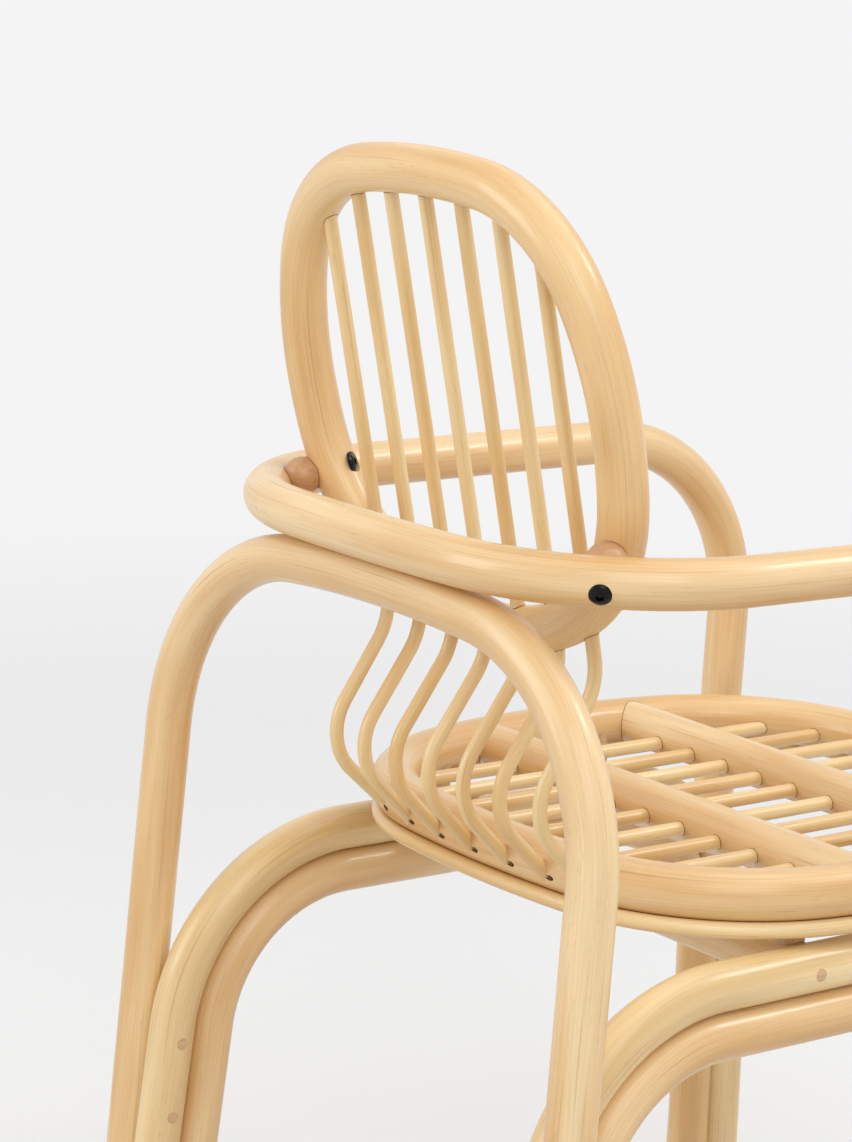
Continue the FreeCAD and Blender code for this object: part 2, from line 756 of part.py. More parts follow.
def head(label, point, direction):
    """Domed round head with a hexagon socket, its flat side at the point."""
    disc = doc.addObject("Part::Cylinder", label + "_disc")
    bind(disc, "Radius", "Sizes.bolt_d / 2 + Sizes.bolt_head_over")
    bind(disc, "Height", "Sizes.bolt_edge_h + Sizes.bolt_dome_h")
    disc.Placement = turned_to(direction, point)
    ball = doc.addObject("Part::Sphere", label + "_ball")
    ball.Radius = dome_rad
    ball.Placement.Base = point + direction * (head_h - dome_rad)
    domed = doc.addObject("Part::Common", label + "_domed")
    domed.Base = disc
    domed.Tool = ball
    socket = doc.addObject("Part::Prism", label + "_socket")
    socket.Polygon = 6
    bind(socket, "Circumradius", "Sizes.bolt_socket / sqrt(3)")
    bind(socket, "Height", "Sizes.bolt_edge_h + Sizes.bolt_dome_h")
    socket.Placement = turned_to(direction, point + direction * size("bolt_socket_floor"))
    return cut(label + "_head", domed, [socket])


for side, hand in SIDES:
    loop_point = to_side(bolt_on_loop, side)
    hoop_point = to_side(bolt_on_hoop, side)
    axis = to_side(bolt_axis, side)
    bolt_seat = hoop_point - axis * bolt_depth
    nut_seat = loop_point + axis * nut_depth
    sleeve_end = nut_seat - axis * size("nut_sleeve_l")
    outer_end = nut_seat + axis * (2 * pole_r)
    inner_end = bolt_seat - axis * (2 * pole_r)
    # The shank stops short of the bottom of the nut's bore.
    shank_end = nut_seat - axis * (2 * touch)

    clear = "Sizes.bolt_d / 2 + Sizes.hole_gap"
    sleeve = "Sizes.bolt_d / 2 + Sizes.hole_gap + Sizes.nut_wall"
    sleeve_clear = sleeve + " + Sizes.hole_gap"
    head_clear = "Sizes.bolt_d / 2 + Sizes.bolt_head_over + Sizes.touch_gap"

    bolt = doc.addObject("Part::Fuse", "connector_bolt_" + hand + "_whole")
    bolt.Base = head("connector_bolt_" + hand, bolt_seat, axis * -1)
    bolt.Tool = rod("bolt_shank_" + hand, bolt_seat, shank_end, "Sizes.bolt_d / 2")
    bolt.Label = "connector_bolt_" + hand
    keep(bolt)

    nut = doc.addObject("Part::Fuse", "cap_nut_" + hand + "_whole")
    nut.Base = head("cap_nut_" + hand, nut_seat, axis)
    nut.Tool = rod("nut_sleeve_" + hand, sleeve_end, nut_seat, sleeve)
    bore = rod("nut_bore_" + hand, bolt_seat, nut_seat - axis * touch, clear)
    keep(cut("cap_nut_" + hand, nut, [bore]))

    shank_hole = rod("shank_hole_" + hand, inner_end, outer_end, clear)
    sleeve_hole = rod("sleeve_hole_" + hand, sleeve_end - axis * touch, outer_end, sleeve_clear)
    bolt_flat = rod("bolt_flat_" + hand, inner_end, bolt_seat, head_clear)
    nut_flat = rod("nut_flat_" + hand, nut_seat, outer_end, head_clear)
    shank_holes.append(shank_hole)
    sleeve_holes.append(sleeve_hole)
    bolt_flats.append(bolt_flat)
    nut_flats.append(nut_flat)

    name = "hoop_spacer_" + hand
    block = rod(name, hoop_point, loop_point, "Sizes.pole_d / 2 - Sizes.spacer_step")
    keep(cut(name, block, [hoop_clear, loop_clear], [shank_hole]))

keep(cut("back_hoop", hoop_blank, *[[hole] for hole in spindle_holes], shank_holes, bolt_flats))
keep(cut("arm_loop", loop_blank, [floor_tool], shank_holes, sleeve_holes, nut_flats))

# Build, check and write

doc.recompute()

faults = []
for thing in doc.Objects:
    if "Invalid" in thing.State or "Error" in thing.State:
        faults.append(thing.Name)
for thing in nodes:
    shape = thing.Shape
    if shape.isNull() or not shape.isValid():
        faults.append(thing.Label + ": bad shape")
    elif len(shape.Solids) != 1:
        faults.append(thing.Label + ": %d solids" % len(shape.Solids))
if faults:
    raise RuntimeError("not built: " + ", ".join(faults))

os.makedirs("parts", exist_ok=True)
for thing in nodes:
    thing.Shape.exportStep("parts/%s.step" % thing.Label)
print("%d sub-parts written" % len(nodes))
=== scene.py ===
"""Looks of a rattan armchair: bent poles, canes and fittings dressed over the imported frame."""

import math

import bpy
import numpy as np
from bpy.props import FloatProperty, IntProperty, PointerProperty, StringProperty
from mathutils import Matrix, Vector, noise


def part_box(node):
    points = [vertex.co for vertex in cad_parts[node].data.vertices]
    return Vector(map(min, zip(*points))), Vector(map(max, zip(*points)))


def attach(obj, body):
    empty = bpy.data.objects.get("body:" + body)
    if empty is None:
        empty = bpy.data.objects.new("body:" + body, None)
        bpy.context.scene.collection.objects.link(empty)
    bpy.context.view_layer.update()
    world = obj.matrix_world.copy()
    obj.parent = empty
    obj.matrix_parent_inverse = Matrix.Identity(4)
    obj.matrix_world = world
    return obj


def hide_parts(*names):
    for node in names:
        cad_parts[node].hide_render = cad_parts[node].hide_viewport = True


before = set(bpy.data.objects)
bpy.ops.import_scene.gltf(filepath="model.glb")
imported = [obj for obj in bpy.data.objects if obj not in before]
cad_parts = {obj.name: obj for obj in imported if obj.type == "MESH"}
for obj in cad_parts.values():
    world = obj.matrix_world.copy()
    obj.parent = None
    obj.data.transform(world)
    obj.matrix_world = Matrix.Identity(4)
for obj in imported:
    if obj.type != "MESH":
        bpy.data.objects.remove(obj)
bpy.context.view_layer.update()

bl_info = {
    "name": "Rattan armchair",
    "version": (1, 0, 0),
    "blender": (4, 5, 0),
    "location": "View3D > Sidebar > Chair",
    "description": "Builds a rattan armchair of bent poles and canes, with its fittings and a studio stage",
    "category": "Object",
}

NODE_BOXES = {node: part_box(node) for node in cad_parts}
SIDES = ((1, "left"), (-1, "right"))
ENDS = ("rear", "front")

# How finely lines and meshes are drawn: steps in metres, counts, and edges sharper than an angle.
LINE_STEP = 0.001
SAME_POINT = 1e-7
BEND_POINTS = 40
CUTTER_SIDES = 32
TURNED_RINGS = 45
CONTACT_SIDES = 8
PLUG_SIDES = 40
POLE_SHARP = math.radians(50)
BORE_SHARP = math.radians(40)

# A line that starts nearly upright needs another first guess of its cross direction.
NEARLY_UPRIGHT = 0.9
# A bore that leaves less than this share of a piece's faces has gone wrong.
LEAST_LEFT = 0.9

# A joint line is sought on the host pole near a rod's start, along the first part of the rod.
HOST_NEAR = 0.08
SEAM_REACH = 0.06
SEAM_STEPS = 301
SEAM_POINTS = 36
SEAM_SIDES = 6

# Unevenness of hand-straightened stock: waves to the metre, a shift of place, and the most of it.
SWELL = (14.0, 0.0, 0.006)
FLAT = (9.0, 5.0, 0.008)

# Each pole takes its grain from its own part of the stock.
GRAIN_STARTS = 97
GRAIN_STEP = 0.37

# Small distances of the fittings.
BARREL_TUCK = 0.003
PIT_FLOOR = 0.0005
PIT_OPEN = 0.012
PLUG_PROUD = 0.00012

# A spindle runs on into the ring by this share of a pole's radius.
SPINDLE_FOOT_SHARE = 0.4


# Properties


def length(millimetres, name, note):
    return FloatProperty(name=name, description=note, default=millimetres / 1000, unit="LENGTH", precision=5)


def angle(degrees, name, note):
    return FloatProperty(name=name, description=note, default=math.radians(degrees), subtype="ANGLE")


def tone(hex_colour, name, note):
    return StringProperty(name=name, description=note + ", as an sRGB hex value", default=hex_colour)


class ChairSizes(bpy.types.PropertyGroup):
    """Stock and bends of the chair. Places come from the frame."""

    pole_d: length(32.0, "Pole", "Thick rattan pole of the frame")
    ring_pole_d: length(34.0, "Ring pole", "Thick rattan pole of the seat ring")
    cane_d: length(10.0, "Cane", "Thin rattan of the seat canes")
    spindle_d: length(9.5, "Spindle", "Thin rattan of the spindles")
    rim_d: length(11.0, "Rim", "Thin rattan ring under the seat ring")
    touch_gap: length(0.3, "Touch gap", "Space between poles laid against each other")

    ring_half_w: length(213.0, "Ring half width", "Seat ring centreline")
    ring_half_d: length(212.3, "Ring half depth", "Seat ring centreline")
    ring_end_rad: length(800.0, "Ring end", "Front and rear arcs of the seat ring")
    ring_side_rad: length(468.0, "Ring side", "Side arcs of the seat ring")
    ring_corner_rad: length(138.0, "Ring corner", "Corners of the seat ring")
    rim_tilt: angle(25.5, "Rim tilt", "Rim under the ring, outward from straight below")

    leg_out: length(23.7, "Leg out", "Leg centres outboard of the ring centreline, at its level")
    leg_splay: angle(1.306, "Leg splay", "Legs lean in going up")
    rear_leg_back: length(135.6, "Rear leg back", "Rear foot behind the ring centreline")
    rear_rake: angle(3.925, "Rear rake", "Rear legs lean forward going up")
    frame_corner_rad: length(147.0, "Frame corner", "Corners of the rear leg frame")
    frame_top_rad: length(1288.0, "Frame top", "Shallow arch of the rear leg frame")
    front_leg_in: length(16.9, "Front leg in", "Front foot behind the front of the ring centreline")
    front_rake: angle(0.54, "Front rake", "Front legs lean forward going up")

    arm_toe: angle(2.03, "Arm toe", "Arms draw together towards the rear")
    arm_bend_rad: length(141.0, "Arm bend", "Bend from arm to front leg")
    loop_back: length(105.1, "Loop back", "Rear of the arm loop behind the ring centreline")
    loop_rear_rad: length(1384.0, "Loop rear", "Shallow curve of the loop's rear")
    loop_corner_rad: length(137.8, "Loop corner", "Rear corners of the arm loop")

    arch_rear_rake: angle(6.18, "Arch rear rake", "Rear run of the arches leans forward going up")
    arch_front_rake: angle(1.52, "Arch front rake", "Front run of the arches leans back going up")
    arch_rear_lead: length(3.7, "Arch rear lead", "Arch foot behind the rear leg foot")
    arch_front_lead: length(6.7, "Arch front lead", "Arch foot ahead of the front leg foot")
    arch_bend_rad: length(142.5, "Arch bend", "Bends of the outer arches")

    hoop_tilt: angle(12.57, "Hoop tilt", "Hoop leans back")
    hoop_up: length(149.3, "Hoop up", "Widest level to the top of the centreline")
    hoop_down: length(155.1, "Hoop down", "Widest level to the bottom of the centreline")
    hoop_top_rad: length(526.0, "Hoop top", "Top arc")
    hoop_bottom_rad: length(209.8, "Hoop bottom", "Bottom arc")
    hoop_upper_side_rad: length(207.0, "Hoop upper side", "Sides above the widest level")
    hoop_lower_side_rad: length(282.2, "Hoop lower side", "Sides below the widest level")
    hoop_upper_corner_rad: length(110.1, "Hoop upper corner", "Upper corners")
    hoop_lower_corner_rad: length(118.7, "Hoop lower corner", "Lower corners")

    spindle_let: length(12.0, "Spindle let", "Spindle end inside the top of the hoop")
    spindle_turn_below: length(18.0, "Spindle turn", "Upper bend below the hoop's bottom centreline")
    spindle_knee_back: length(62.7, "Spindle knee back", "Lower bend behind the ring centreline")
    spindle_knee_rise: length(47.5, "Spindle knee rise", "Lower bend above the ring centreline")
    spindle_knee_follow: FloatProperty(
        name="Spindle knee follow",
        description="Share of the ring's curve that the lower bend follows",
        default=0.4,
    )
    spindle_entry_back: length(12.0, "Spindle entry", "Spindle axis behind the ring centreline, at the ring")
    spindle_foot_drop: length(4.5, "Spindle foot drop", "Spindle axis below the ring centreline, at the ring")
    spindle_upper_rad: length(45.0, "Spindle upper bend", "Upper bend of a spindle")
    spindle_lower_rad: length(38.0, "Spindle lower bend", "Lower bend of a spindle")

    bolt_loop_angle: angle(44.0, "Bolt place", "Bolt on the loop corner, round from the side")
    bolt_turn: angle(46.0, "Bolt turn", "Bolt axis turned outward from straight back")
    bolt_dip: angle(19.3, "Bolt dip", "Bolt axis dips towards the loop")
    bolt_let: length(2.0, "Bolt let", "Bolt head let into the hoop, at its axis")
    bolt_off_centre: length(6.4, "Bolt off centre", "Bolt axis behind the hoop centreline")
    head_recess_d: length(14.6, "Head recess", "Flat bored in a pole for a bolt or nut head")
    spacer_l: length(13.0, "Spacer", "Spacer between the two poles, along the bolt")
    spacer_mid_d: length(27.0, "Spacer middle", "Turned spacer at its thickest")
    spacer_end_d: length(20.0, "Spacer end", "Turned spacer where it meets a pole")
    plug_d: length(8.8, "Plug", "Wooden plug over a screw")
    pit_w: length(7.4, "Pit width", "Pit round a nail beside a spindle foot, along the ring")
    pit_h: length(3.9, "Pit height", "The same pit, across the ring")
    # The contact line is a dark bead of glue and painted shadow along the gap between poles laid together.
    contact_w: length(1.4, "Contact line", "Bead of glue between poles laid against each other")
    joint_w: length(0.55, "Joint line", "Bead of glue and shadow round a joint")
    nail_dip: angle(14.0, "Nail dip", "Nail below the level of the ring centreline")

    ring_spacing: length(4.0, "Ring spacing", "Distance between the edge rings of a pole")
    pole_sides: IntProperty(name="Pole sides", description="Edges round a thick pole", default=40, min=12)
    cane_sides: IntProperty(name="Cane sides", description="Edges round a thin cane", default=24, min=8)


class ChairTones(bpy.types.PropertyGroup):
    """Colours of the chair and its stage."""

    pole_pale: tone("EED3A4", "Pole pale", "Palest stretches of the thick poles")
    pole_mid: tone("E3BF8B", "Pole", "Thick poles")
    pole_deep: tone("D7AC71", "Pole deep", "Deepest stretches of the thick poles")
    hoop_pale: tone("ECCF9B", "Hoop pale", "Palest stretches of the hoop")
    hoop_mid: tone("E6C189", "Hoop", "Back hoop, more golden than the frame")
    hoop_deep: tone("D6A96C", "Hoop deep", "Deepest stretches of the hoop")
    arch_pale: tone("F0DAAA", "Arch pale", "Palest stretches of the outer arches")
    arch_mid: tone("E8CB98", "Arch", "Outer arches, paler and yellower than the frame")
    arch_deep: tone("DAB981", "Arch deep", "Deepest stretches of the outer arches")
    seat_pale: tone("E6C592", "Seat pale", "Palest stretches of the seat ring")
    seat_mid: tone("DDB47A", "Seat", "Seat ring, deeper than the frame")
    seat_deep: tone("CE9F62", "Seat deep", "Deepest stretches of the seat ring")
    cane_pale: tone("EFD6A2", "Cane pale", "Palest canes and spindles")
    cane_mid: tone("E6C48B", "Cane", "Canes and spindles")
    cane_deep: tone("D8AE6E", "Cane deep", "Deepest canes and spindles")
    fleck: tone("A8743C", "Fleck", "Short dark fibres in the rattan")
    spacer: tone("C4976A", "Spacer", "Turned wooden spacers")
    plug: tone("D3AE80", "Plug", "Wooden plugs and packing blocks")
    joint: tone("85592F", "Joint", "Shadowed glue lines round plugs and rods")
    steel: tone("060606", "Steel", "Blackened steel fittings")
    nail: tone("6B4220", "Nail", "Browned nails at the spindle feet")
    floor: tone("E4E4E4", "Floor", "Studio floor")
    floor_return: tone("CCC8C2", "Floor return", "Light that the floor sends back to the chair")
    surround: tone("F4F4F4", "Surround", "Pale surround behind the chair")


def sizes():
    return bpy.context.scene.chair_sizes


def tones():
    return bpy.context.scene.chair_tones


# Plane geometry of the bends, with points as pairs


def on_circle(centre, rad, turn):
    return (centre[0] + rad * math.cos(turn), centre[1] + rad * math.sin(turn))


def angle_of(start, end):
    return math.atan2(end[1] - start[1], end[0] - start[0])


def quarter(half_w, half_h, end_rad, side_rad, corner_rad):
    """Three tangent arcs from (half_w, 0) to (0, half_h): side, corner, end."""
    side = (half_w - side_rad, 0.0)
    end = (0.0, half_h - end_rad)
    near = side_rad - corner_rad
    far = end_rad - corner_rad
    gap = math.hypot(end[0] - side[0], end[1] - side[1])
    along = (gap * gap + near * near - far * far) / (2 * gap)
    across = math.sqrt(near * near - along * along)
    ahead = ((end[0] - side[0]) / gap, (end[1] - side[1]) / gap)
    corners = []
    for off in (across, -across):
        x = side[0] + ahead[0] * along - ahead[1] * off
        y = side[1] + ahead[1] * along + ahead[0] * off
        corners.append((x, y))
    corner = max(corners, key=lambda point: point[0] + point[1])
    first = angle_of(side, corner)
    second = angle_of(end, corner)
    return [
        (side, side_rad, 0.0, first),
        (corner, corner_rad, first, second),
        (end, end_rad, second, math.pi / 2),
    ]


def mirror_x(arcs):
    mirrored = []
    for centre, rad, start, stop in reversed(arcs):
        mirrored.append(((-centre[0], centre[1]), rad, math.pi - stop, math.pi - start))
    return mirrored


def mirror_y(arcs):
    return [((centre[0], -centre[1]), rad, -stop, -start) for centre, rad, start, stop in reversed(arcs)]


def oval(upper, lower):
    """Closed loop of arcs, anticlockwise from (half_w, 0)."""
    return upper + mirror_x(upper) + mirror_x(mirror_y(lower)) + mirror_y(lower)


def end_at(arcs, across):
    """Height of a quarter's centreline above a point across from its middle."""
    for centre, rad, _, stop in arcs:
        if abs(across) >= on_circle(centre, rad, stop)[0] or stop == arcs[-1][3]:
            return centre[1] + math.sqrt(rad * rad - (abs(across) - centre[0]) ** 2)
    return 0.0


def side_at(arcs, along):
    """Half width of a quarter's centreline at a point along from its middle."""
    for centre, rad, start, _ in reversed(arcs):
        if abs(along) >= on_circle(centre, rad, start)[1]:
            return centre[0] + math.sqrt(rad * rad - (abs(along) - centre[1]) ** 2)
    return 0.0


def lesser_root(square, single, rest):
    """Lesser root of a quadratic, from what stands before its square, before its root and alone."""
    return (-single - math.sqrt(single * single - 4 * square * rest)) / (2 * square)


def arch_corner(half_w, lean, top_rad, corner_rad):
    """Corner arc between a shallow top arc with its apex at (0, 0) and a straight leg.

    The second number of a pair runs down from the apex. Gives the corner's centre
    and its tangent points on the top arc and on the leg.
    """
    norm = math.hypot(1.0, lean)
    inward = (-1.0 / norm, lean / norm)
    base = (half_w + inward[0] * corner_rad, inward[1] * corner_rad)
    beside = base[0]
    below = base[1] - top_rad
    step = lesser_root(
        lean * lean + 1.0,
        2 * (beside * lean + below),
        beside * beside + below * below - (top_rad - corner_rad) ** 2,
    )
    centre = (base[0] + step * lean, base[1] + step)
    reach = top_rad / (top_rad - corner_rad)
    on_top = (centre[0] * reach, top_rad + (centre[1] - top_rad) * reach)
    on_leg = (centre[0] - inward[0] * corner_rad, centre[1] - inward[1] * corner_rad)
    return centre, on_top, on_leg


# Lines in space


def arc_line(centre, rad, start, stop, place):
    count = max(4, int(abs(stop - start) * rad / LINE_STEP))
    turns = np.linspace(start, stop, count)
    return [place(on_circle(centre, rad, turn)) for turn in turns]


def arcs_line(arcs, place):
    points = []
    for centre, rad, start, stop in arcs:
        points += arc_line(centre, rad, start, stop, place)
    return points


def rounded(points, radii):
    """Straight runs through the points, each inner point rounded by its radius."""
    line = [points[0]]
    for index, rad in enumerate(radii, start=1):
        corner = points[index]
        back = (points[index - 1] - corner).normalized()
        ahead = (points[index + 1] - corner).normalized()
        half = back.angle(ahead) / 2
        centre = corner + (back + ahead).normalized() * (rad / math.sin(half))
        start = corner + back * (rad / math.tan(half)) - centre
        stop = corner + ahead * (rad / math.tan(half)) - centre
        sweep = start.angle(stop)
        for share in np.linspace(0, 1, BEND_POINTS):
            weight_start = math.sin((1 - share) * sweep) / math.sin(sweep)
            weight_stop = math.sin(share * sweep) / math.sin(sweep)
            line.append(centre + start * weight_start + stop * weight_stop)
    line.append(points[-1])
    return line


def evenly(line, closed, spacing=LINE_STEP):
    """The same line with points at even distances, and those distances along it."""
    points = np.array([tuple(point) for point in line])
    if closed:
        points = np.vstack([points, points[:1]])
    steps = np.linalg.norm(np.diff(points, axis=0), axis=1)
    points = points[np.concatenate([[True], steps > SAME_POINT])]
    steps = steps[steps > SAME_POINT]
    reach = np.concatenate([[0.0], np.cumsum(steps)])
    count = max(2, int(round(reach[-1] / spacing)))
    stations = np.linspace(0, reach[-1], count + 1)
    even = np.stack([np.interp(stations, reach, points[:, axis]) for axis in range(3)], 1)
    if closed:
        even = even[:-1]
    return even, stations


def turned_frames(points, closed):
    """Tangent and two cross directions along a line, with no needless twist."""
    if closed:
        tangents = np.roll(points, -1, 0) - np.roll(points, 1, 0)
    else:
        tangents = np.gradient(points, axis=0)
    tangents /= np.linalg.norm(tangents, axis=1)[:, None]
    guess = np.array([0.0, 0.0, 1.0])
    if abs(tangents[0] @ guess) > NEARLY_UPRIGHT:
        guess = np.array([1.0, 0.0, 0.0])
    across = np.zeros_like(points)
    for index, tangent in enumerate(tangents):
        guess = guess - (guess @ tangent) * tangent
        guess = guess / np.linalg.norm(guess)
        across[index] = guess
    if closed:
        side = np.cross(tangents[0], across[0])
        twist = math.atan2(guess @ side, guess @ across[0])
        spread = -twist * np.arange(len(points)) / len(points)
        sides = np.cross(tangents, across)
        across = across * np.cos(spread)[:, None] + sides * np.sin(spread)[:, None]
    return tangents, across, np.cross(tangents, across)


# Meshes


def add_piece(name, mesh, material, stands_for):
    piece = bpy.data.objects.new(name, mesh)
    bpy.context.scene.collection.objects.link(piece)
    mesh.materials.append(material)
    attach(piece, "root")
    if stands_for:
        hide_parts(*stands_for)
    return piece


def smooth_mesh(name, verts, faces):
    mesh = bpy.data.meshes.new(name)
    mesh.from_pydata([tuple(vert) for vert in verts], [], faces)
    mesh.polygons.foreach_set("use_smooth", [True] * len(mesh.polygons))
    return mesh


def tube_faces(rings, count, closed=False, base=0):
    """Four-sided faces between neighbouring rings of points, from a first point on."""
    faces = []
    for ring in range(rings if closed else rings - 1):
        near = base + ring * count
        far = base + (ring + 1) % rings * count
        for step in range(count):
            beside = (step + 1) % count
            faces.append((near + step, near + beside, far + beside, far + step))
    return faces


def wander(points, waves, shift, most):
    """Slow unevenness along a line, as a share of the radius."""
    places = [Vector(point) * waves + Vector((shift, shift, shift)) for point in points]
    return np.array([noise.noise(place) for place in places]) * most


def dress(node, material):
    """Finish for a node that keeps its solid."""
    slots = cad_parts[node].data.materials
    slots.clear()
    slots.append(material)


def pole(name, line, diameter, material, slot, stands_for, closed=False, on_floor=False, sides=None):
    """Round rattan pole along a line, with a grain coordinate that runs with its fibres."""
    given = sizes()
    sides = sides or given.pole_sides
    points, stations = evenly(line, closed, given.ring_spacing)
    tangents, across, upward = turned_frames(points, closed)
    turns = np.linspace(0, 2 * math.pi, sides, endpoint=False)
    circle = np.stack([np.cos(turns), np.sin(turns)], 1)
    # The radius wanders by about half a percent, and a pole is never quite round.
    swell = wander(points, *SWELL)
    flat = wander(points, *FLAT)
    radius = diameter / 2 * (1 + swell[:, None] + flat[:, None] * np.cos(2 * turns)[None, :])
    spokes = across[:, None, :] * circle[None, :, :1] + upward[:, None, :] * circle[None, :, 1:]
    verts = points[:, None, :] + spokes * radius[:, :, None]
    if on_floor:
        for end in (0, -1):
            drop = verts[end, :, 2] / tangents[end, 2]
            verts[end] -= drop[:, None] * tangents[end][None, :]
    rings = len(points)
    faces = tube_faces(rings, sides, closed)
    if not closed:
        faces += [list(range(sides))[::-1], list(range((rings - 1) * sides, rings * sides))]
    mesh = smooth_mesh(name, verts.reshape(-1, 3).tolist(), faces)
    # The scarf of a closed pole is matched: the grain runs out from it both ways and meets itself.
    if closed:
        stations = np.minimum(stations, stations[-1] - stations)
    start = (sum(ord(letter) for letter in name) % GRAIN_STARTS) * GRAIN_STEP
    corners = np.array([corner for face in faces for corner in face])
    grain = np.column_stack([circle[corners % sides] * diameter / 2, stations[corners // sides] + start])
    mesh.attributes.new("grain", "FLOAT_VECTOR", "CORNER").data.foreach_set("vector", grain.ravel())
    mesh.set_sharp_from_angle(angle=POLE_SHARP)
    return add_piece(name, mesh, material, stands_for)


def contact(name, line, slot, **ends):
    """Bead of glue and painted shadow along the gap between two poles laid against each other."""
    pole(name, line, sizes().contact_w, glue_and_shade_line(), slot, [], sides=CONTACT_SIDES, **ends)


def round_cutter(start, end, diameter, stretch):
    """Cylinder that bores a hole, stretched level across its axis, to be deleted after use."""
    axis = end - start
    turn = axis.to_track_quat("Z", "Y").to_matrix().to_4x4()
    count = CUTTER_SIDES
    verts = []
    for height in (0.0, axis.length):
        for step in range(count):
            spoke = 2 * math.pi * step / count
            level = stretch * diameter / 2 * math.cos(spoke)
            verts.append(start + turn @ Vector((level, diameter / 2 * math.sin(spoke), height)))
    faces = tube_faces(2, count)
    faces += [list(range(count))[::-1], list(range(count, 2 * count))]
    mesh = bpy.data.meshes.new("cutter")
    mesh.from_pydata([tuple(vert) for vert in verts], [], faces)
    cutter = bpy.data.objects.new("cutter", mesh)
    bpy.context.scene.collection.objects.link(cutter)
    return cutter


def bore(piece, bores, stretch=1.0, lining=None):
    """Bores holes into a piece, each from a start point to an end point with a diameter.

    They may be stretched level, and lined with a second material.
    """
    if lining:
        piece.data.materials.append(lining)
    for start, end, diameter in bores:
        cutter = round_cutter(start, end, diameter, stretch)
        if lining:
            for material in piece.data.materials:
                cutter.data.materials.append(material)
            cutter.data.polygons.foreach_set("material_index", [1] * len(cutter.data.polygons))
        modifier = piece.modifiers.new("bore", "BOOLEAN")
        modifier.operation = "DIFFERENCE"
        modifier.object = cutter
        bpy.context.view_layer.update()
        shaped = piece.evaluated_get(bpy.context.evaluated_depsgraph_get())
        mesh = bpy.data.meshes.new_from_object(shaped)
        piece.modifiers.clear()
        old = piece.data
        if len(mesh.polygons) < LEAST_LEFT * len(old.polygons):
            raise RuntimeError("a bore took too much of " + piece.name)
        piece.data = mesh
        bpy.data.meshes.remove(old)
        bpy.data.objects.remove(cutter)
    piece.data.set_sharp_from_angle(angle=BORE_SHARP)


def barrel_r(along):
    """Radius of a turned spacer at a distance from either pole's centreline."""
    given = sizes()
    middle = (given.pole_d + given.spacer_l) / 2
    shoulder = middle - given.pole_d / 2 + BARREL_TUCK
    thin = (given.spacer_mid_d - given.spacer_end_d) / 2
    radius = given.spacer_mid_d / 2 - thin * ((along - middle) / shoulder) ** 2
    # Out of sight in a pole, it keeps half the width of its ends.
    return np.maximum(radius, given.spacer_end_d / 4)


def turned_mesh(name, start, axis, reach, radius_at):
    """Round piece turned about an axis."""
    first = axis.orthogonal().normalized()
    second = axis.cross(first)
    count = sizes().pole_sides
    verts = []
    for station in np.linspace(0, reach, TURNED_RINGS):
        for step in range(count):
            turn = 2 * math.pi * step / count
            spoke = first * math.cos(turn) + second * math.sin(turn)
            verts.append(start + axis * station + spoke * float(radius_at(station)))
    faces = tube_faces(TURNED_RINGS, count)
    faces.append(tuple(range(count))[::-1])
    faces.append(tuple(range(len(verts) - count, len(verts))))
    return smooth_mesh(name, verts, faces)


def seam(start, ahead, rod_r, host, host_r):
    """Closed line where a rod comes out of a host pole.

    The rod starts inside that pole. Its radius is a number, or a function of the distance along it.
    """
    host = host[np.linalg.norm(host - np.array(start), axis=1) < HOST_NEAR]
    first = ahead.orthogonal().normalized()
    second = ahead.cross(first).normalized()
    reach = np.linspace(0, SEAM_REACH, SEAM_STEPS)
    radius = rod_r(reach) if callable(rod_r) else np.full(len(reach), rod_r)
    line = []
    for turn in np.linspace(0, 2 * math.pi, SEAM_POINTS, endpoint=False):
        spoke = np.array(first * math.cos(turn) + second * math.sin(turn))
        run = np.array(start) + reach[:, None] * np.array(ahead) + radius[:, None] * spoke
        apart = np.min(np.linalg.norm(run[:, None, :] - host[None, :, :], axis=2), axis=1)
        line.append(run[int(np.argmax(apart > host_r))])
    return np.array(line)


def seam_mesh(name, lines, width):
    """One mesh of thin beads along closed lines."""
    verts = []
    faces = []
    for line in lines:
        _, across, upward = turned_frames(line, True)
        faces += tube_faces(len(line), SEAM_SIDES, closed=True, base=len(verts))
        for point, one, other in zip(line, across, upward):
            for step in range(SEAM_SIDES):
                turn = 2 * math.pi * step / SEAM_SIDES
                verts.append(point + (one * math.cos(turn) + other * math.sin(turn)) * width / 2)
    return smooth_mesh(name, verts, faces)


# Materials


def linear(hex_colour):
    """Linear RGBA from an sRGB hex value."""
    channels = [int(hex_colour[index:index + 2], 16) / 255 for index in (0, 2, 4)]
    mixed = [c / 12.92 if c <= 0.04045 else ((c + 0.055) / 1.055) ** 2.4 for c in channels]
    return (*mixed, 1.0)


def add(tree, kind, feeds=None, stops=None, **settings):
    """One shader node with its settings, its ramp stops and what feeds its sockets."""
    node = tree.nodes.new(kind)
    for key, value in settings.items():
        setattr(node, key, value)
    for index, (position, colour) in enumerate(stops or []):
        if index > 1:
            node.color_ramp.elements.new(position)
        node.color_ramp.elements[index].position = position
        node.color_ramp.elements[index].color = colour
    for socket, value in (feeds or {}).items():
        if isinstance(value, bpy.types.NodeSocket):
            tree.links.new(value, node.inputs[socket])
        else:
            node.inputs[socket].default_value = value
    return node


def new_material(name):
    material = bpy.data.materials.new(name)
    material.use_nodes = True
    material.node_tree.nodes.clear()
    return material, material.node_tree


def in_sight(tree):
    """One where the camera sees a surface, straight or in gloss or glass, and nought for other light."""
    rays = add(tree, "ShaderNodeLightPath").outputs
    sight = rays["Is Camera Ray"]
    for way in ("Is Glossy Ray", "Is Transmission Ray"):
        sight = add(tree, "ShaderNodeMath", {0: sight, 1: rays[way]}, operation="MAXIMUM").outputs[0]
    return sight


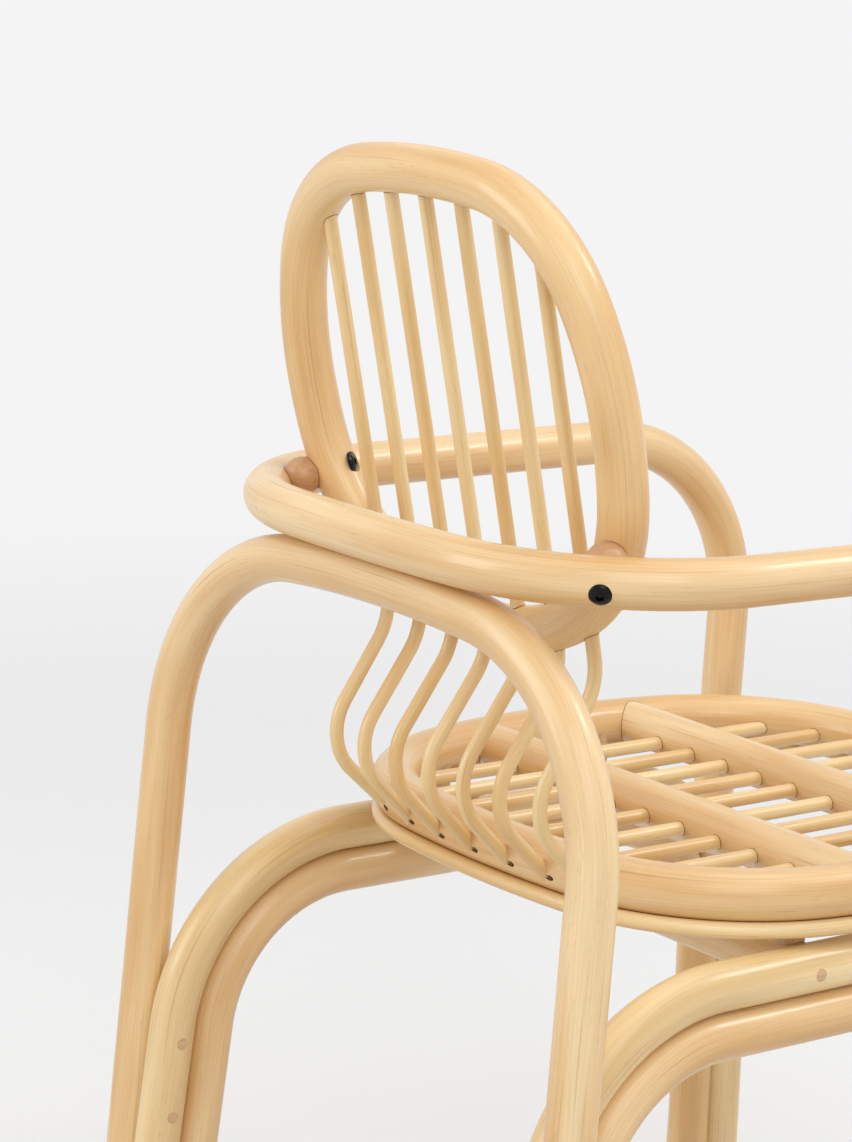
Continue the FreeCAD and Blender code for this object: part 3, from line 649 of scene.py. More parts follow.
BLACK = (0.0, 0.0, 0.0, 1.0)
GREY = (0.5, 0.5, 0.5, 1.0)
WHITE = (1.0, 1.0, 1.0, 1.0)

# What each use of rattan is called, after its stock and its finish.
RATTANS = {
    "pole": "peeled_rattan_pole_satin",
    "hoop": "peeled_rattan_golden_satin",
    "arch": "peeled_rattan_straw_satin",
    "seat": "peeled_rattan_amber_satin",
    "cane": "peeled_rattan_cane_satin",
}


def shaded(colour, red, green, blue):
    """A linear colour with a share of each channel."""
    return (colour[0] * red, colour[1] * green, colour[2] * blue, 1.0)


def fibrous(tree, grain, across, along, detail):
    """Mottle drawn out along the fibres, from its real size across and along them in metres."""
    place = add(tree, "ShaderNodeMapping", {"Vector": grain, "Scale": (1 / across, 1 / across, 1 / along)})
    feeds = {"Vector": place.outputs[0], "Scale": 1.0, "Detail": detail}
    return add(tree, "ShaderNodeTexNoise", feeds).outputs["Fac"]


def rattan(use):
    """Peeled rattan, sanded and sprayed with satin lacquer.

    The core of the vine shows: fine fibres along the pole, slow drifts of honey
    tone, and short dark vessels. The lacquer gives a soft, even sheen.
    """
    name = RATTANS[use]
    if name in bpy.data.materials:
        return bpy.data.materials[name]
    deep, mid, pale = [linear(getattr(tones(), use + part)) for part in ("_deep", "_mid", "_pale")]
    fleck_tone = linear(tones().fleck)
    material, tree = new_material(name)
    grain = add(tree, "ShaderNodeAttribute", attribute_name="grain").outputs["Vector"]

    # Tone drifts over about 25 mm round the pole and 240 mm along it.
    drift = fibrous(tree, grain, 0.025, 0.24, 2.0)
    drift_stops = [(0.32, deep), (0.5, mid), (0.68, pale)]
    tone_ramp = add(tree, "ShaderNodeValToRGB", {"Fac": drift}, drift_stops)

    # Fibres are about 0.9 mm wide and 70 mm long.
    fibre = fibrous(tree, grain, 0.0009, 0.07, 3.0)
    fibre_ramp = add(
        tree,
        "ShaderNodeValToRGB",
        {"Fac": fibre},
        [(0.3, (0.80, 0.76, 0.70, 1.0)), (0.5, (0.97, 0.97, 0.96, 1.0)), (0.7, (1.06, 1.06, 1.06, 1.0))],
    )
    fibred = add(
        tree,
        "ShaderNodeMix",
        {0: 0.4, 6: tone_ramp.outputs["Color"], 7: fibre_ramp.outputs["Color"]},
        data_type="RGBA",
        blend_type="MULTIPLY",
    )

    # Vessels show as flecks about 0.6 mm wide and 9 mm long, in patches of 12 mm by 60 mm.
    fleck = fibrous(tree, grain, 0.0006, 0.009, 1.0)
    patch = fibrous(tree, grain, 0.012, 0.06, 1.0)
    fleck_ramp = add(tree, "ShaderNodeValToRGB", {"Fac": fleck}, [(0.64, BLACK), (0.76, WHITE)])
    patch_ramp = add(tree, "ShaderNodeValToRGB", {"Fac": patch}, [(0.42, BLACK), (0.7, GREY)])
    fleck_share = add(
        tree,
        "ShaderNodeMath",
        {0: fleck_ramp.outputs["Color"], 1: patch_ramp.outputs["Color"]},
        operation="MULTIPLY",
    )
    flecked = add(
        tree,
        "ShaderNodeMix",
        {0: fleck_share.outputs[0], 6: fibred.outputs[2], 7: fleck_tone},
        data_type="RGBA",
    )

    # A few brown streaks, 2 mm wide and 150 mm long, where the skin was peeled less.
    streak = fibrous(tree, grain, 0.002, 0.15, 2.0)
    streak_ramp = add(tree, "ShaderNodeValToRGB", {"Fac": streak}, [(0.62, BLACK), (0.8, GREY)])
    streaked = add(
        tree,
        "ShaderNodeMix",
        {0: streak_ramp.outputs["Color"], 6: flecked.outputs[2], 7: fleck_tone},
        data_type="RGBA",
    )

    rough = add(
        tree,
        "ShaderNodeMapRange",
        {"Value": fibre, "From Min": 0.3, "From Max": 0.7, "To Min": 0.5, "To Max": 0.38},
    )
    bump = add(tree, "ShaderNodeBump", {"Height": fibre, "Strength": 0.25, "Distance": 0.0002})
    surface = add(
        tree,
        "ShaderNodeBsdfPrincipled",
        {
            "Base Color": streaked.outputs[2],
            "Roughness": rough.outputs[0],
            "IOR": 1.5,
            "Coat Weight": 0.5,
            "Coat Roughness": 0.18,
            "Normal": bump.outputs[0],
        },
    )
    add(tree, "ShaderNodeOutputMaterial", {"Surface": surface.outputs[0]})
    return material


def hardwood(name, colour):
    """Close-grained hardwood, turned and lacquered: fine straight grain, satin, slightly mottled."""
    if name in bpy.data.materials:
        return bpy.data.materials[name]
    material, tree = new_material(name)
    place = add(tree, "ShaderNodeTexCoord").outputs["Object"]
    # Growth lines are about 1.2 mm apart and run for 30 mm.
    grain_at = add(tree, "ShaderNodeMapping", {"Vector": place, "Scale": (1 / 0.0012, 1 / 0.03, 1 / 0.0012)})
    grain = add(tree, "ShaderNodeTexNoise", {"Vector": grain_at.outputs[0], "Scale": 1.0, "Detail": 3.0})
    wood = linear(colour)
    stops = [(0.3, shaded(wood, 0.84, 0.8, 0.76)), (0.6, wood)]
    ramp = add(tree, "ShaderNodeValToRGB", {"Fac": grain.outputs["Fac"]}, stops)
    bump = add(tree, "ShaderNodeBump", {"Height": grain.outputs["Fac"], "Strength": 0.2, "Distance": 0.0002})
    surface = add(
        tree,
        "ShaderNodeBsdfPrincipled",
        {
            "Base Color": ramp.outputs["Color"],
            "Roughness": 0.42,
            "Coat Weight": 0.3,
            "Coat Roughness": 0.2,
            "Normal": bump.outputs[0],
        },
    )
    add(tree, "ShaderNodeOutputMaterial", {"Surface": surface.outputs[0]})
    return material


def steel(name, colour, smooth, dull):
    """Steel under a dark oxide: the oxide hides the metal, and its smoothness sets the highlights."""
    if name in bpy.data.materials:
        return bpy.data.materials[name]
    material, tree = new_material(name)
    place = add(tree, "ShaderNodeTexCoord").outputs["Object"]
    # Oxide crystals make a mottle of about 0.4 mm.
    crystals = {"Vector": place, "Scale": 1 / 0.0004, "Detail": 2.0}
    mottle = add(tree, "ShaderNodeTexNoise", crystals).outputs["Fac"]
    rough = add(tree, "ShaderNodeMapRange", {"Value": mottle, "To Min": smooth, "To Max": dull})
    bump = add(tree, "ShaderNodeBump", {"Height": mottle, "Strength": 0.15, "Distance": 0.0001})
    surface = add(
        tree,
        "ShaderNodeBsdfPrincipled",
        {
            "Base Color": linear(colour),
            "Roughness": rough.outputs[0],
            "IOR": 1.5,
            "Specular IOR Level": 0.2,
            "Normal": bump.outputs[0],
        },
    )
    add(tree, "ShaderNodeOutputMaterial", {"Surface": surface.outputs[0]})
    return material


def glue_and_shade_line():
    """Hide glue and shadow in a narrow joint: dull dark brown, uneven along the joint."""
    name = "aged_glue_line"
    if name in bpy.data.materials:
        return bpy.data.materials[name]
    material, tree = new_material(name)
    place = add(tree, "ShaderNodeTexCoord").outputs["Object"]
    # The glue varies every 2 mm or so.
    blot = add(tree, "ShaderNodeTexNoise", {"Vector": place, "Scale": 1 / 0.002, "Detail": 1.0})
    glue = linear(tones().joint)
    stops = [(0.35, shaded(glue, 0.6, 0.6, 0.6)), (0.65, shaded(glue, 1.3, 1.3, 1.3))]
    ramp = add(tree, "ShaderNodeValToRGB", {"Fac": blot.outputs["Fac"]}, stops)
    surface = add(tree, "ShaderNodeBsdfPrincipled", {"Base Color": ramp.outputs["Color"], "Roughness": 0.8})
    add(tree, "ShaderNodeOutputMaterial", {"Surface": surface.outputs[0]})
    return material


# Lines of the chair's poles, in the frame's place


def box_of(node):
    return NODE_BOXES[node]


def centre_of(node):
    low, high = box_of(node)
    return (low + high) / 2


def nodes_named(start):
    return [node for node in sorted(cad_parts) if node.startswith(start)]


def lay():
    """Distance between the centrelines of two poles laid against each other."""
    return sizes().pole_d + sizes().touch_gap


def ring_r():
    return sizes().ring_pole_d / 2


def pole_r():
    return sizes().pole_d / 2


def seat_z():
    low, high = box_of("seat_ring")
    return (low.z + high.z) / 2


def seat_y():
    return box_of("seat_ring")[0].y + ring_r() + sizes().ring_half_d


def ring_arcs(out=0.0):
    """Quarter of the seat ring's centreline, or of a line outside it."""
    given = sizes()
    return quarter(
        given.ring_half_w + out,
        given.ring_half_d + out,
        given.ring_end_rad + out,
        given.ring_side_rad + out,
        given.ring_corner_rad + out,
    )


def seat_line(arcs, height):
    """Level closed line round the seat, from a quarter of it."""
    return arcs_line(oval(arcs, arcs), lambda point: Vector((point[0], seat_y() + point[1], height)))


def ring_line():
    return seat_line(ring_arcs(), seat_z())


def rim_line(apart):
    """Line under the seat ring, at a distance from its centreline on the side of the rim."""
    tilt = sizes().rim_tilt
    return seat_line(ring_arcs(apart * math.sin(tilt)), seat_z() - apart * math.cos(tilt))


def rear_foot():
    return sizes().ring_half_d + sizes().rear_leg_back


def front_foot():
    return sizes().ring_half_d - sizes().front_leg_in


def leg_x(height):
    given = sizes()
    return given.ring_half_w + given.leg_out + math.tan(given.leg_splay) * (seat_z() - height)


def rear_leg_y(height):
    return seat_y() + rear_foot() - math.tan(sizes().rear_rake) * height


def front_leg_y(height):
    return seat_y() - front_foot() - math.tan(sizes().front_rake) * height


def arm_z():
    return box_of("arm_loop")[1].z - pole_r()


def loop_rear_y():
    return seat_y() + sizes().ring_half_d + sizes().loop_back


def loop_corner():
    """Corner of the arm loop: centre, tangent point on the rear, tangent point on the arm."""
    given = sizes()
    lean = math.tan(given.arm_toe)
    half = leg_x(arm_z()) - lean * (loop_rear_y() - front_leg_y(arm_z()))
    return arch_corner(half, lean, given.loop_rear_rad, given.loop_corner_rad)


def in_loop(point):
    return Vector((point[0], loop_rear_y() - point[1], arm_z()))


def to_side(line, side):
    return [Vector((side * point.x, point.y, point.z)) for point in line]


def loop_line():
    given = sizes()
    centre, on_rear, on_arm = loop_corner()
    foot = Vector((leg_x(0), front_leg_y(0), 0))
    corner = Vector((leg_x(arm_z()), front_leg_y(arm_z()), arm_z()))
    half = rounded([foot, corner, in_loop(on_arm)], [given.arm_bend_rad])
    rad = given.loop_corner_rad
    half += arc_line(centre, rad, angle_of(centre, on_arm), angle_of(centre, on_rear), in_loop)
    apex = (0.0, given.loop_rear_rad)
    half += arc_line(apex, given.loop_rear_rad, angle_of(apex, on_rear), -math.pi / 2, in_loop)
    return half + to_side(half, -1)[::-1]


def frame_line():
    """Rear leg frame. Its top is at the height where it lies against the loop's rear."""
    given = sizes()
    rake = math.tan(given.rear_rake)
    behind = loop_rear_y() - rear_leg_y(0)
    top_z = lesser_root(
        1.0 + rake * rake,
        2 * (rake * behind - arm_z()),
        arm_z() ** 2 + behind * behind - lay() * lay(),
    )
    rake_cos = math.cos(given.rear_rake)

    def in_frame(point):
        height = top_z - point[1] * rake_cos
        return Vector((point[0], rear_leg_y(height), height))

    lean = math.tan(given.leg_splay) * rake_cos
    centre, on_top, on_leg = arch_corner(leg_x(top_z), lean, given.frame_top_rad, given.frame_corner_rad)
    half = [Vector((leg_x(0), rear_leg_y(0), 0))]
    rad = given.frame_corner_rad
    half += arc_line(centre, rad, angle_of(centre, on_leg), angle_of(centre, on_top), in_frame)
    apex = (0.0, given.frame_top_rad)
    half += arc_line(apex, given.frame_top_rad, angle_of(apex, on_top), -math.pi / 2, in_frame)
    return half + to_side(half, -1)[::-1]


def arch_x(height):
    """Centreline of the arches, inboard of the legs."""
    return leg_x(height) - lay() / math.cos(sizes().leg_splay)


def arch_line(side, inset):
    """Outer side arch, or a line nested under it by an inset."""
    given = sizes()
    top = box_of("outer_arch_left")[1].z - pole_r() - inset
    rear_lean = math.tan(given.arch_rear_rake)
    front_lean = math.tan(given.arch_front_rake)
    rear_y = seat_y() + rear_foot() + given.arch_rear_lead - inset * math.hypot(1.0, rear_lean)
    front_y = seat_y() - front_foot() - given.arch_front_lead + inset * math.hypot(1.0, front_lean)
    corners = [
        Vector((side * arch_x(0), rear_y, 0)),
        Vector((side * arch_x(top), rear_y - rear_lean * top, top)),
        Vector((side * arch_x(top), front_y + front_lean * top, top)),
        Vector((side * arch_x(0), front_y, 0)),
    ]
    rad = given.arch_bend_rad - inset
    return rounded(corners, [rad, rad])


def hoop_quarter(upper):
    given = sizes()
    low, high = box_of("back_hoop")
    half_w = (high.x - low.x) / 2 - pole_r()
    if upper:
        bends = (given.hoop_top_rad, given.hoop_upper_side_rad, given.hoop_upper_corner_rad)
        return quarter(half_w, given.hoop_up, *bends)
    bends = (given.hoop_bottom_rad, given.hoop_lower_side_rad, given.hoop_lower_corner_rad)
    return quarter(half_w, given.hoop_down, *bends)


def in_hoop(point):
    given = sizes()
    high = box_of("back_hoop")[1]
    below_top = given.hoop_up - point[1]
    y = high.y - pole_r() - below_top * math.sin(given.hoop_tilt)
    z = high.z - pole_r() - below_top * math.cos(given.hoop_tilt)
    return Vector((point[0], y, z))


def hoop_line():
    return arcs_line(oval(hoop_quarter(True), hoop_quarter(False)), in_hoop)


def spindle_line(node):
    """Down the hoop's plane, through its bottom, back, then forward into the ring."""
    given = sizes()
    x = centre_of(node).x
    ring_back = end_at(ring_arcs(), x)
    drop = given.ring_half_d - ring_back
    knee_y = seat_y() + given.ring_half_d + given.spindle_knee_back - given.spindle_knee_follow * drop
    knee = Vector((x, knee_y, seat_z() + given.spindle_knee_rise))
    turn = in_hoop((x, -given.hoop_down - given.spindle_turn_below))
    top = in_hoop((x, end_at(hoop_quarter(True), x) - pole_r() + given.spindle_let))
    entry_y = seat_y() + ring_back + given.spindle_entry_back
    entry = Vector((x, entry_y, seat_z() - given.spindle_foot_drop))
    foot = entry + (entry - knee).normalized() * pole_r() * SPINDLE_FOOT_SHARE
    return rounded([top, turn, knee, foot], [given.spindle_upper_rad, given.spindle_lower_rad])


def bolt_line(side):
    """Bolt axis: its points on the hoop and on the loop, and its direction towards the loop."""
    given = sizes()
    centre = loop_corner()[0]
    on_loop = in_loop(on_circle(centre, given.loop_corner_rad, -given.bolt_loop_angle))
    flat = math.cos(given.bolt_dip)
    level_x, level_y = math.sin(given.bolt_turn) * flat, math.cos(given.bolt_turn) * flat
    axis = Vector((level_x, level_y, -math.sin(given.bolt_dip)))
    on_hoop = on_loop - axis * (given.pole_d + given.spacer_l)
    return to_side([on_hoop, on_loop, axis], side)


# Operators


class BuildSeatRing(bpy.types.Operator):
    """Thick seat ring, bored for the nails beside the spindle feet, and the thin rim under it"""

    bl_idname = "chair.seat_ring"
    bl_label = "Seat ring"

    def execute(self, context):
        given = sizes()
        line = ring_line()
        stock = rattan("seat")
        ring = pole("ring", line, given.ring_pole_d, stock, "rattan_pole", ["seat_ring"], closed=True)
        drive = Vector((0, math.cos(given.nail_dip), -math.sin(given.nail_dip)))
        bores = []
        for node in nodes_named("spindle_nail"):
            middle = centre_of(node)
            bores.append((middle - drive * PIT_FLOOR, middle + drive * PIT_OPEN, given.pit_h))
        # The pit walls take the dark glue material as painted shade in the hollows beside the spindle feet.
        bore(ring, bores, given.pit_w / given.pit_h, glue_and_shade_line())
        line = rim_line(ring_r() + given.rim_d / 2 + given.touch_gap)
        cane = rattan("cane")
        pole("rim", line, given.rim_d, cane, "rattan_cane", ["seat_rim"], closed=True, sides=given.cane_sides)
        contact("rim_joint", rim_line(ring_r() + given.touch_gap / 2), "rattan_cane", closed=True)
        return {"FINISHED"}


class BuildSeatCanes(bpy.types.Operator):
    """Two crossbars in the plane of the ring and the canes that run through them"""

    bl_idname = "chair.seat_canes"
    bl_label = "Seat canes"

    def execute(self, context):
        given = sizes()
        for end in ENDS:
            node = "seat_crossbar_" + end
            middle = centre_of(node)
            half = side_at(ring_arcs(), middle.y - seat_y())
            line = [Vector((-half, middle.y, middle.z)), Vector((half, middle.y, middle.z))]
            pole("crossbar_" + end, line, given.pole_d, rattan("pole"), "rattan_pole", [node])
        for node in nodes_named("seat_cane"):
            low, high = box_of(node)
            middle = centre_of(node)
            line = [Vector((middle.x, low.y, middle.z)), Vector((middle.x, high.y, middle.z))]
            name = node.replace("seat_", "")
            pole(name, line, given.cane_d, rattan("cane"), "rattan_cane", [node], sides=given.cane_sides)
        return {"FINISHED"}


class BuildArmLoop(bpy.types.Operator):
    """Arm loop: front legs, arms and the rear of the loop in one bent pole"""

    bl_idname = "chair.arm_loop"
    bl_label = "Arm loop"

    def execute(self, context):
        given = sizes()
        line = loop_line()
        loop = pole("loop", line, given.pole_d, rattan("pole"), "rattan_pole", ["arm_loop"], on_floor=True)
        depth = math.sqrt(pole_r() ** 2 - (given.head_recess_d / 2) ** 2)
        bores = []
        for side, _ in SIDES:
            _, on_loop, axis = bolt_line(side)
            bores.append((on_loop + axis * depth, on_loop + axis * given.pole_d, given.head_recess_d))
        bore(loop, bores)
        return {"FINISHED"}


class BuildRearFrame(bpy.types.Operator):
    """Rear leg frame: an inverted U laid under the rear of the arm loop"""

    bl_idname = "chair.rear_frame"
    bl_label = "Rear leg frame"

    def execute(self, context):
        stands_for = ["rear_leg_frame"]
        line = frame_line()
        pole("rear_frame", line, sizes().pole_d, rattan("pole"), "rattan_pole", stands_for, on_floor=True)
        return {"FINISHED"}


class BuildSideArches(bpy.types.Operator):
    """Outer side arches beside the legs, and inner ones nested under them"""

    bl_idname = "chair.side_arches"
    bl_label = "Side arches"

    def execute(self, context):
        for side, hand in SIDES:
            for inset, place, stock in ((0.0, "outer", rattan("arch")), (lay(), "inner", rattan("pole"))):
                node = "%s_arch_%s" % (place, hand)
                name = "arch_%s_%s" % (place, hand)
                line = arch_line(side, inset)
                pole(name, line, sizes().pole_d, stock, "rattan_pole", [node], on_floor=True)
            contact("arch_joint_" + hand, arch_line(side, lay() / 2), "rattan_pole", on_floor=True)
        return {"FINISHED"}


class BuildBearers(bpy.types.Operator):
    """Bearers across the chair under the seat, and the packing blocks on them"""

    bl_idname = "chair.bearers"
    bl_label = "Bearers"

    def execute(self, context):
        given = sizes()
        for end in ENDS:
            node = "seat_bearer_" + end
            middle = centre_of(node)
            half = arch_x(middle.z)
            line = [Vector((-half, middle.y, middle.z)), Vector((half, middle.y, middle.z))]
            pole("bearer_" + end, line, given.pole_d - given.touch_gap, rattan("pole"), "rattan_pole", [node])
            for _, hand in SIDES:
                dress("seat_block_%s_%s" % (end, hand), hardwood("lacquered_hardwood_plug", tones().plug))
        return {"FINISHED"}


class BuildBackHoop(bpy.types.Operator):
    """Closed oval back hoop, bored for the bolt heads, and its seven bent spindles"""

    bl_idname = "chair.back_hoop"
    bl_label = "Back hoop"

    def execute(self, context):
        given = sizes()
        line = hoop_line()
        hoop = pole("hoop", line, given.pole_d, rattan("hoop"), "rattan_hoop", ["back_hoop"], closed=True)
        depth = math.sqrt(pole_r() ** 2 - given.bolt_off_centre ** 2) - given.bolt_let
        bores = []
        for side, _ in SIDES:
            on_hoop, _, axis = bolt_line(side)
            bores.append((on_hoop - axis * depth, on_hoop - axis * given.pole_d, given.head_recess_d))
        bore(hoop, bores)
        for node in nodes_named("back_spindle"):
            name = node.replace("back_", "")
            line = spindle_line(node)
            pole(name, line, given.spindle_d, rattan("cane"), "rattan_cane", [node], sides=given.cane_sides)
        return {"FINISHED"}


class BuildFittings(bpy.types.Operator):
    """Turned spacers between hoop and loop, and the blackened bolts, nuts and nails"""

    bl_idname = "chair.fittings"
    bl_label = "Fittings"

    def execute(self, context):
        given = sizes()
        wood = hardwood("turned_hardwood_spacer", tones().spacer)
        for side, hand in SIDES:
            on_hoop, _, axis = bolt_line(side)
            mesh = turned_mesh("spacer_" + hand, on_hoop, axis, given.pole_d + given.spacer_l, barrel_r)
            add_piece("spacer_" + hand, mesh, wood, ["hoop_spacer_" + hand])
        for node in nodes_named(("connector_bolt", "cap_nut")):
            dress(node, steel("black_oxide_steel_oiled", tones().steel, smooth=0.1, dull=0.22))
        for node in nodes_named("spindle_nail"):
            dress(node, steel("browned_steel_dull", tones().nail, smooth=0.5, dull=0.7))
        return {"FINISHED"}


class BuildPlugs(bpy.types.Operator):
    """Round wooden plugs over the screws, sanded to the curve of the poles"""

    bl_idname = "chair.plugs"
    bl_label = "Plugs"

    def execute(self, context):
        for side, hand in SIDES:
            points, _ = evenly(arch_line(side, 0.0), False)
            tangents = turned_frames(points, False)[0]
            for node in nodes_named("plug_"):
                if node.endswith(hand):
                    self.plug(node, points, tangents)
        return {"FINISHED"}

    def plug(self, node, points, tangents):
        given = sizes()
        middle = np.array(centre_of(node))
        nearest = int(np.argmin(np.linalg.norm(points - middle, axis=1)))
        along = tangents[nearest]
        out = middle - points[nearest]
        out = out - (out @ along) * along
        out = out / np.linalg.norm(out)
        beside = np.cross(along, out)
        top = pole_r() + PLUG_PROUD
        # Shares of the radius, and how far the eased edge is sunk there.
        rings = [(0.35, 0.0), (0.7, 0.0), (0.9, 0.0), (0.97, 0.00003), (1.0, 0.0005)]
        count = PLUG_SIDES
        verts = []
        for share, sunk in rings:
            for step in range(count):
                turn = 2 * math.pi * step / count
                lengthwise = share * given.plug_d / 2 * math.cos(turn)
                crosswise = share * given.plug_d / 2 * math.sin(turn)
                height = math.sqrt((top - sunk) ** 2 - crosswise * crosswise)
                verts.append(points[nearest] + along * lengthwise + beside * crosswise + out * height)
        verts.append(points[nearest] + out * top)
        last = len(verts) - 1
        faces = [[last, step, (step + 1) % count] for step in range(count)]
        for ring in range(len(rings) - 1):
            near = ring * count
            far = near + count
            for step in range(count):
                beyond = (step + 1) % count
                faces.append([near + step, far + step, far + beyond, near + beyond])
        mesh = smooth_mesh(node, verts, faces)
        wood = hardwood("lacquered_hardwood_plug", tones().plug)
        add_piece(node.replace("plug_", "dowel_"), mesh, wood, [node])
        # The outer band of each plug takes the dark glue material: a glue ring with painted shade in its
        # eased edge.
        mesh.materials.append(glue_and_shade_line())
        for face in mesh.polygons[len(faces) - count:]:
            face.material_index = 1


class BuildJointLines(bpy.types.Operator):
    """Dark narrow lines of glue and shadow where canes, spindles and bars enter the poles"""

    bl_idname = "chair.joint_lines"
    bl_label = "Joint lines"

    def execute(self, context):
        lines = self.seat_lines() + self.back_lines() + self.bearer_lines()
        mesh = seam_mesh("joint_lines", lines, sizes().joint_w)
        add_piece("joint_lines", mesh, glue_and_shade_line(), [])
        return {"FINISHED"}

    def seat_lines(self):
        given = sizes()
        ring, _ = evenly(ring_line(), True)
        forward = Vector((0, -1, 0))
        inward = Vector((-1, 0, 0))
        # A crossbar is straight, so a few points of it each way from a cane are enough.
        steps = range(-20, 21)
        lines = []
        for node in nodes_named("seat_cane"):
            low, high = box_of(node)
            x, z = (low.x + high.x) / 2, (low.z + high.z) / 2
            for end in ENDS:
                bar = centre_of("seat_crossbar_" + end)
                host = np.array([(x + step * LINE_STEP, bar.y, bar.z) for step in steps])
                for way in (forward, -forward):
                    lines.append(seam(Vector((x, bar.y, z)), way, given.cane_d / 2, host, pole_r()))
            for y, way in ((high.y, forward), (low.y, -forward)):
                lines.append(seam(Vector((x, y, z)), way, given.cane_d / 2, ring, ring_r()))
        for end in ENDS:
            bar = centre_of("seat_crossbar_" + end)
            half = side_at(ring_arcs(), bar.y - seat_y())
            for side, _ in SIDES:
                start = Vector((side * half, bar.y, bar.z))
                lines.append(seam(start, inward * side, pole_r(), ring, ring_r()))
        return lines

    def back_lines(self):
        given = sizes()
        hoop, _ = evenly(hoop_line(), True)
        loop, _ = evenly(loop_line(), False)
        lines = []
        for node in nodes_named("back_spindle"):
            line = spindle_line(node)
            down = (line[1] - line[0]).normalized()
            inside = in_hoop((line[0].x, -end_at(hoop_quarter(False), line[0].x)))
            for start, way in ((line[0], down), (inside, down), (inside, -down)):
                lines.append(seam(start, way, given.spindle_d / 2, hoop, pole_r()))
        for side, _ in SIDES:
            on_hoop, on_loop, axis = bolt_line(side)
            lines.append(seam(on_hoop, axis, barrel_r, hoop, pole_r()))
            lines.append(seam(on_loop, -axis, barrel_r, loop, pole_r()))
        return lines

    def bearer_lines(self):
        bearer_r = pole_r() - sizes().touch_gap
        lines = []
        for side, _ in SIDES:
            arch, _ = evenly(arch_line(side, 0.0), False)
            for end in ENDS:
                middle = centre_of("seat_bearer_" + end)
                start = Vector((side * arch_x(middle.z), middle.y, middle.z))
                lines.append(seam(start, Vector((-side, 0, 0)), bearer_r, arch, pole_r()))
        return lines


